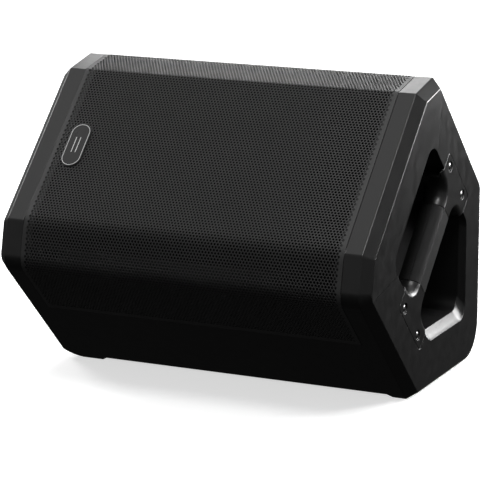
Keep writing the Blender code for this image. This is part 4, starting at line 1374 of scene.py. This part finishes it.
def pole_socket():
    """Cup for a stand's pole in the -X end, held by four screws; local Z points out of that end."""
    place = end_place(POLE_DEPTH, -WIDTH / 2)
    mouth = arc(POLE_HOLE + 2.5, -2.5, 2.5, 180, 90, 6)
    rim = arc(POLE_FLANGE - 1.5, -1.5, 1.5, 90, 0, 4)
    outside = [(POLE_FLANGE, -POLE_RIM), (POLE_TUBE, -POLE_RIM), (POLE_TUBE, -80), (0, -80)]
    cup = [*mouth, *rim, *outside, (0, -POLE_FLOOR), (POLE_HOLE, -POLE_FLOOR)]
    socket = turned("pole_cup", cup, place, 96)
    turns = [math.radians(45 + 90 * i) for i in range(4)]
    seats = [shifted(place, POLE_SCREWS * math.cos(t), POLE_SCREWS * math.sin(t)) for t in turns]
    well = [(0, 1), (4.6, 1), (4.6, 0), (2.2, -2.2), (0, -2.2)]
    for seat in seats:
        cut(socket, turned("seat", well, seat, 24))
    for i in range(24):
        cut(socket, block("rib", 40.6, 42.4, -0.5, 0.5, -0.5, 1, spun(place, 15 * i)))
    show(smooth(socket), "socket_plastic", ["pole_socket"])
    profile = [(0, -0.3), (3.9, -0.3), (4.2, -0.5), (2.0, -2.1), (0, -2.1)]
    heads = [cross(turned("head", profile, seat, 24), seat, 20, 2.2, 0.4, -1.3, 1) for seat in seats]
    show(smooth(merge("pole_cup_screws", heads)), "panel_screw")


def feet():
    """Rubber pads with grooves across their soles."""
    for i, (x, y) in enumerate(foot_spots(), 1):
        pad = foot_outline(x, y)
        sole = offset(pad, [-0.6] * len(pad))
        foot = loft(f"foot_pad_{i}", [along("Z", sole, 0), along("Z", pad, 0.6), along("Z", pad, FOOT_TALL)])
        for k in range(-3, 4):
            cut(foot, block("groove", x - 9, x + 9, y + 5 * k - 0.8, y + 5 * k + 0.8, -1, 0.7))
        show(smooth(foot), "foot_rubber", [f"rubber_foot_{i}"])


# ---------------------------------------------------------------- amplifier


def panel_screws():
    x = PANEL_WIDE / 2 - 6
    for z in (PANEL_LOW + 6, PANEL_HIGH - 6):
        for side in (x, 0.0, -x):
            yield side, z


def panel():
    half = PANEL_WIDE / 2 - GAP
    outer = REAR_Y - PANEL_RECESS
    low, high = PANEL_LOW + GAP, PANEL_HIGH - GAP
    plate = block("amp_plate", -half, half, outer - PANEL_SHEET, outer, low, high)
    round_holes = [(JACK_RADIUS + GAP, x, SOCKET_ROW) for _, x in SOCKETS]
    round_holes += [(3.6, x, KNOB_ROW) for _, x, _ in KNOBS]
    round_holes += [(2.8, LENS_X, SOCKET_ROW)]
    round_holes += [(2.0, x, z) for x, z in panel_screws()]
    for radius, x, z in round_holes:
        cut(plate, turned("hole", tube(0, radius, -DEEP, DEEP), panel_place(x, z), 32))
    square_holes = [(x, SOCKET_ROW, (4 - GAP, 4 - GAP)) for _, x, _ in BUTTONS]
    square_holes += [(POWER_X, INLET_Z, INLET_BODY), (POWER_X, ROCKER_Z, SWITCH_BODY)]
    for x, z, (wide, tall) in square_holes:
        cut(plate, bar("hole", wide + GAP, tall + GAP, -DEEP, DEEP, panel_place(x, z)))
    show(soften(plate, 0.25, 2), "panel_steel", ["amp_panel"])
    dome = on_axis(arc(0, GAP, 3.4, 0, 90, 6, tall=1.9))
    for i, (x, z) in enumerate(panel_screws(), 1):
        place = panel_place(x, z)
        screw = turned(f"panel_screw_{i}_head", [(1.6, -2.3), (1.6, GAP), *dome, (0, -2.3)], place, 24)
        show(smooth(cross(screw, place, 35, 1.9, 0.35, 1.1, 4)), "panel_screw", [f"panel_screw_{i}"])
    prints()


def prints():
    """Plain white lines: a frame round each group, scale ticks round the knobs, and no lettering."""
    marks = []
    for _, x, _ in KNOBS:
        for step in range(11):
            spin = spun(panel_place(x, KNOB_ROW), -150 + 30 * step)
            long = 1.8 if step % 5 == 0 else 1.0
            marks.append(block("tick", -0.25, 0.25, 10.6, 10.6 + long, 0, PRINT_THICK, spin))
    centre = panel_place(0, 0)
    groups = ((-114, -74, 148, 190), (-74, 56, 100, 142), (-32, 6, 154, 182), (72, 112, 58, 176))
    for group in groups:
        marks.append(line_loop("frame", rectangle(*group, 3.0), 0.6, PRINT_THICK, centre))
    for _, x in SOCKETS[1:]:
        marks.append(line_loop("ring", circle(18), 0.5, PRINT_THICK, panel_place(x, SOCKET_ROW)))
    show(merge("panel_print", marks), "panel_steel", look="print_white")


def flanged_well(name, flange, body, well, depth, place):
    """Rectangular housing through the panel, with a flange outside it and a well in its front."""
    steps = [(body, -depth), (body, GAP), (flange, GAP), (flange, 2.8), (well, 2.8), (well, 3 - depth)]
    rings = [along("Z", rectangle(-wide, wide, -tall, tall, 1.2, 3), z) for (wide, tall), z in steps]
    return loft(name, rings, place)


def sockets():
    radius = JACK_RADIUS
    collar = [(radius, GAP), (15.5, GAP), (15.5, 1.9), (14.9, 2.5), (10.3, 2.5), (9.5, 1.7)]
    body = [(0, -22), (radius, -22), *collar, (9.5, -radius), (0, -radius)]
    pin = [(0, 0), (1.3, 0), (1.3, 0.8), (0.9, 0.8), (0.9, 0.2), (0, 0.2)]
    for node, x in SOCKETS:
        place = panel_place(x, SOCKET_ROW)
        jack = turned(f"{node}_shell", body, place)
        for turn in (45, 225):
            cut(jack, turned("seat", tube(0, 1.3, 1.4, 4), shifted(spun(place, turn), 12.7, 0), 16))
        show(smooth(jack), "socket_plastic", [node])
        seats = [shifted(spun(place, turn), 6.2, 0, -11.9) for turn in (90, 210, 330)]
        contacts = [turned("pin", pin, seat, 16) for seat in seats]
        contacts.append(turned("sleeve", [(3.6, -11.9), (3.6, -10.8), (3.1, -10.8), (3.1, -11.9)], place, 32))
        show(smooth(merge(f"{node}_contacts", contacts)), "socket_plastic", look="contact_metal")
    power_inlet(panel_place(POWER_X, INLET_Z))
    power_switch(panel_place(POWER_X, ROCKER_Z))


def power_inlet(place):
    inlet = flanged_well("power_inlet_shell", (24, 13.5), INLET_BODY, (12, 8), 20, place)
    seats = [shifted(place, x, 0) for x in (-19.5, 19.5)]
    for seat in seats:
        cut(inlet, turned("seat", tube(0, 2.6, 1.2, 4), seat, 24))
    show(soften(inlet, 0.3, 2), "socket_plastic", ["power_inlet"])
    blades = ((-7, -2), (0, 2.4), (7, -2))
    metal = [block("blade", x - 1, x + 1, y - 2.2, y + 2.2, -16.9, -5, place) for x, y in blades]
    head = [(0, 2.2), (1.6, 2.1), (2.3, 1.6), (2.3, 1.25), (0, 1.25)]
    metal += [turned("head", head, seat, 24) for seat in seats]
    show(smooth(merge("power_inlet_metal", metal)), "socket_plastic", look="contact_metal")


def power_switch(place):
    bezel = flanged_well("switch_bezel", (13, 17), SWITCH_BODY, (8, 12), 16, place)
    show(soften(bezel, 0.3, 2), "socket_plastic", ["power_switch_frame"])
    crest, middle, foot = 4.6, 2.4, 0.6
    rocker = [(-10.6, 2.2), (-10.0, crest), (0, middle), (10.0, foot), (10.6, -1.4), (6, -7), (-6, -5)]
    rocker = rounded(rocker, [0.6, 0.8, 12.0, 0.8, 0.6, 1.0, 1.0], steps=5)
    paddle = loft("switch_paddle", [along("X", rocker, x) for x in (-7.5, 7.5)], place)
    show(soften(paddle, 0.4, 2), "knob_plastic", ["power_rocker"], "rocker")
    spots = []
    for y, z, drop in ((-5, 3.5, crest - middle), (5, 1.55, middle - foot)):
        spots.append(shifted(place, 0, y, z) @ Matrix.Rotation(-math.atan2(drop, 10.0), 4, "X"))
    line = bar("bar", 0.4, 2, 0.0, 0.25, spots[0])
    ring = line_loop("ring", circle(2.1, steps=32), 0.6, 0.2, spots[1])
    show(merge("switch_marks", [line, ring]), "knob_plastic", body="rocker", look="print_white")


def fluted(radius, depth, flutes, inset=0.0):
    """Round outline with shallow flutes."""
    count = flutes * 6
    outline = []
    for i in range(count):
        turn = math.tau * i / count
        reach = radius - inset - depth * (0.5 - 0.5 * math.cos(flutes * turn)) ** 2
        outline.append((reach * math.cos(turn), reach * math.sin(turn)))
    return outline


def controls():
    skirt = [(0, -6), (2.8, -6), (2.8, 1), (8.5, 1), (8.5, 2.4), (7.9, 3.1), (6.9, 3.4), (0, 3.4)]
    grip_levels = [(0.0, 3.0), (0.0, 4.0), (0.25, 12.6), (0.6, 13.5), (1.3, 14.0)]
    for node, x, body in KNOBS:
        place = panel_place(x, KNOB_ROW)
        base = turned(f"{node}_skirt", skirt, place)
        grip = loft("grip", [along("Z", fluted(6.7, 0.55, 20, inset), z) for inset, z in grip_levels], place)
        dish = turned("dish", [(0, 13.5), (4.2, 13.5), (4.7, 14.5), (0, 14.5)], place)
        show(smooth(cut(join(base, grip), dish)), "knob_plastic", [node], body)
        top = block("top", -0.45, 0.45, 1.5, 5.2, 13.4, 14.05, place)
        side = block("side", -0.45, 0.45, 6.3, 8.2, 2.2, 3.3, place)
        show(merge(f"{node}_pointer", [top, side]), "knob_plastic", body=body, look="print_white")
    outline = rectangle(-3.4, 3.4, -3.4, 3.4, 1.7, 5)
    rings = stepped(outline, [(0.0, -7), (0.0, 4.2), (0.25, 4.75), (0.8, 5.0), (1.6, 4.7)])
    for node, x, body in BUTTONS:
        show(smooth(loft(f"{node}_cap", rings, panel_place(x, SOCKET_ROW))), "knob_plastic", [node], body)
    profile = [(0, -5), (2.4, -5), (2.4, 0.6), *on_axis(arc(0, 0.6, 2.2, 20, 90, 6, tall=1.4))]
    lens = turned("power_light", profile, panel_place(LENS_X, SOCKET_ROW), 32)
    show(smooth(lens), "lens_plastic", ["power_lens"])


# On the amplifier's board: place (x, z), radius and height of each capacitor, and place, width and
# height of each chip.
CANS = ((-40, 80, 9, 22), (-18, 80, 9, 22), (10, 74, 5, 13), (24, 74, 5, 13), (92, 172, 6, 14))
CHIPS = ((40, 100, 18, 18), (40, 140, 12, 9), (70, 140, 12, 9), (70, 100, 9, 14), (-30, 130, 22, 8))
BOARD_LOW = 62
BOARD_HIGH = 186


def electronics():
    """Amplifier board behind the panel, its heat sink, and the mains transformer on the floor."""
    face = REAR_Y - PANEL_RECESS - PANEL_SHEET
    front = face - 40
    board = block("amp_board_laminate", -60, 110, face - 42, front, BOARD_LOW, BOARD_HIGH)
    show(soften(board, 0.2, 2), "circuit_board", ["amp_board"])
    cans = []
    for x, z, radius, tall in CANS:
        place = shifted(IDENTITY, x, front, z) @ Matrix.Rotation(math.radians(-90), 4, "X")
        crimp = [(radius, 1.2), (radius - 0.5, 1.8), (radius, 2.4)]
        top = [(radius, tall - 0.8), (radius - 0.8, tall), (radius - 2, tall), (radius - 2.2, tall - 0.4)]
        cans.append(turned("can", [(0, 0), (radius, 0), *crimp, *top, (0, tall - 0.4)], place, 32))
    show(smooth(merge("board_capacitors", cans)), "circuit_board", look="can_aluminium")
    chips = [block("chip", x, x + wide, front, front + 2.6, z, z + high) for x, z, wide, high in CHIPS]
    starts = [-50 + 14 * i for i in range(10)]
    chips += [block("resistor", x, x + 4, front, front + 1.2, 158, 160) for x in starts]
    show(soften(merge("board_chips", chips), 0.2, 2, tidy=False), "circuit_board", look="chip_plastic")
    sink = block("heat_sink_casting", -75, -65, face - 62, face - 24, BOARD_LOW, BOARD_HIGH)
    for i in range(5):
        y = face - 60 + 8 * i
        join(sink, block("fin", -65.5, -63.2, y, y + 2, BOARD_LOW, BOARD_HIGH))
    for i in range(4):
        z = 68 + 30 * i
        join(sink, block("web", -110, -74, face - 58, face - 28, z, z + 3))
    show(soften(sink, 0.3, 2), "heat_sink_aluminium", ["heat_sink"])
    transformer(shifted(IDENTITY, 60, 60, 9.9))


def transformer(place):
    """Wound ring, every second turn of its wire a little smaller, under a plate and its bolt."""
    section = rounded([(13, 0), (52, 0), (52, 40), (13, 40)], [5, 9, 9, 5], steps=8)
    middle, level = 32.5, 20
    count = 144
    rings = []
    for i in range(count):
        spin = math.tau * i / count
        share = 1 - 0.35 * (i % 2) / 20
        turn = [(middle + (radius - middle) * share, level + (z - level) * share) for radius, z in section]
        rings.append([(reach * math.cos(spin), reach * math.sin(spin), z) for reach, z in turn])
    winding = hoop("transformer_winding", rings, place)
    show(smooth(winding, 60), "transformer_core", ["mains_transformer"])
    bolt = [(0, 0), (4, 0), (4, 40.3), (24, 40.3), (24, 42.3), (0, 42.3)]
    show(soften(turned("transformer_plate", bolt, place), 0.5), "magnet_steel", ["transformer_clamp"])


def main():
    camera()
    studio()
    shells()
    grille_sheets()
    foam()
    badge()
    handle()
    woofer()
    horn()
    ports()
    pole_socket()
    feet()
    panel()
    sockets()
    controls()
    electronics()


main()
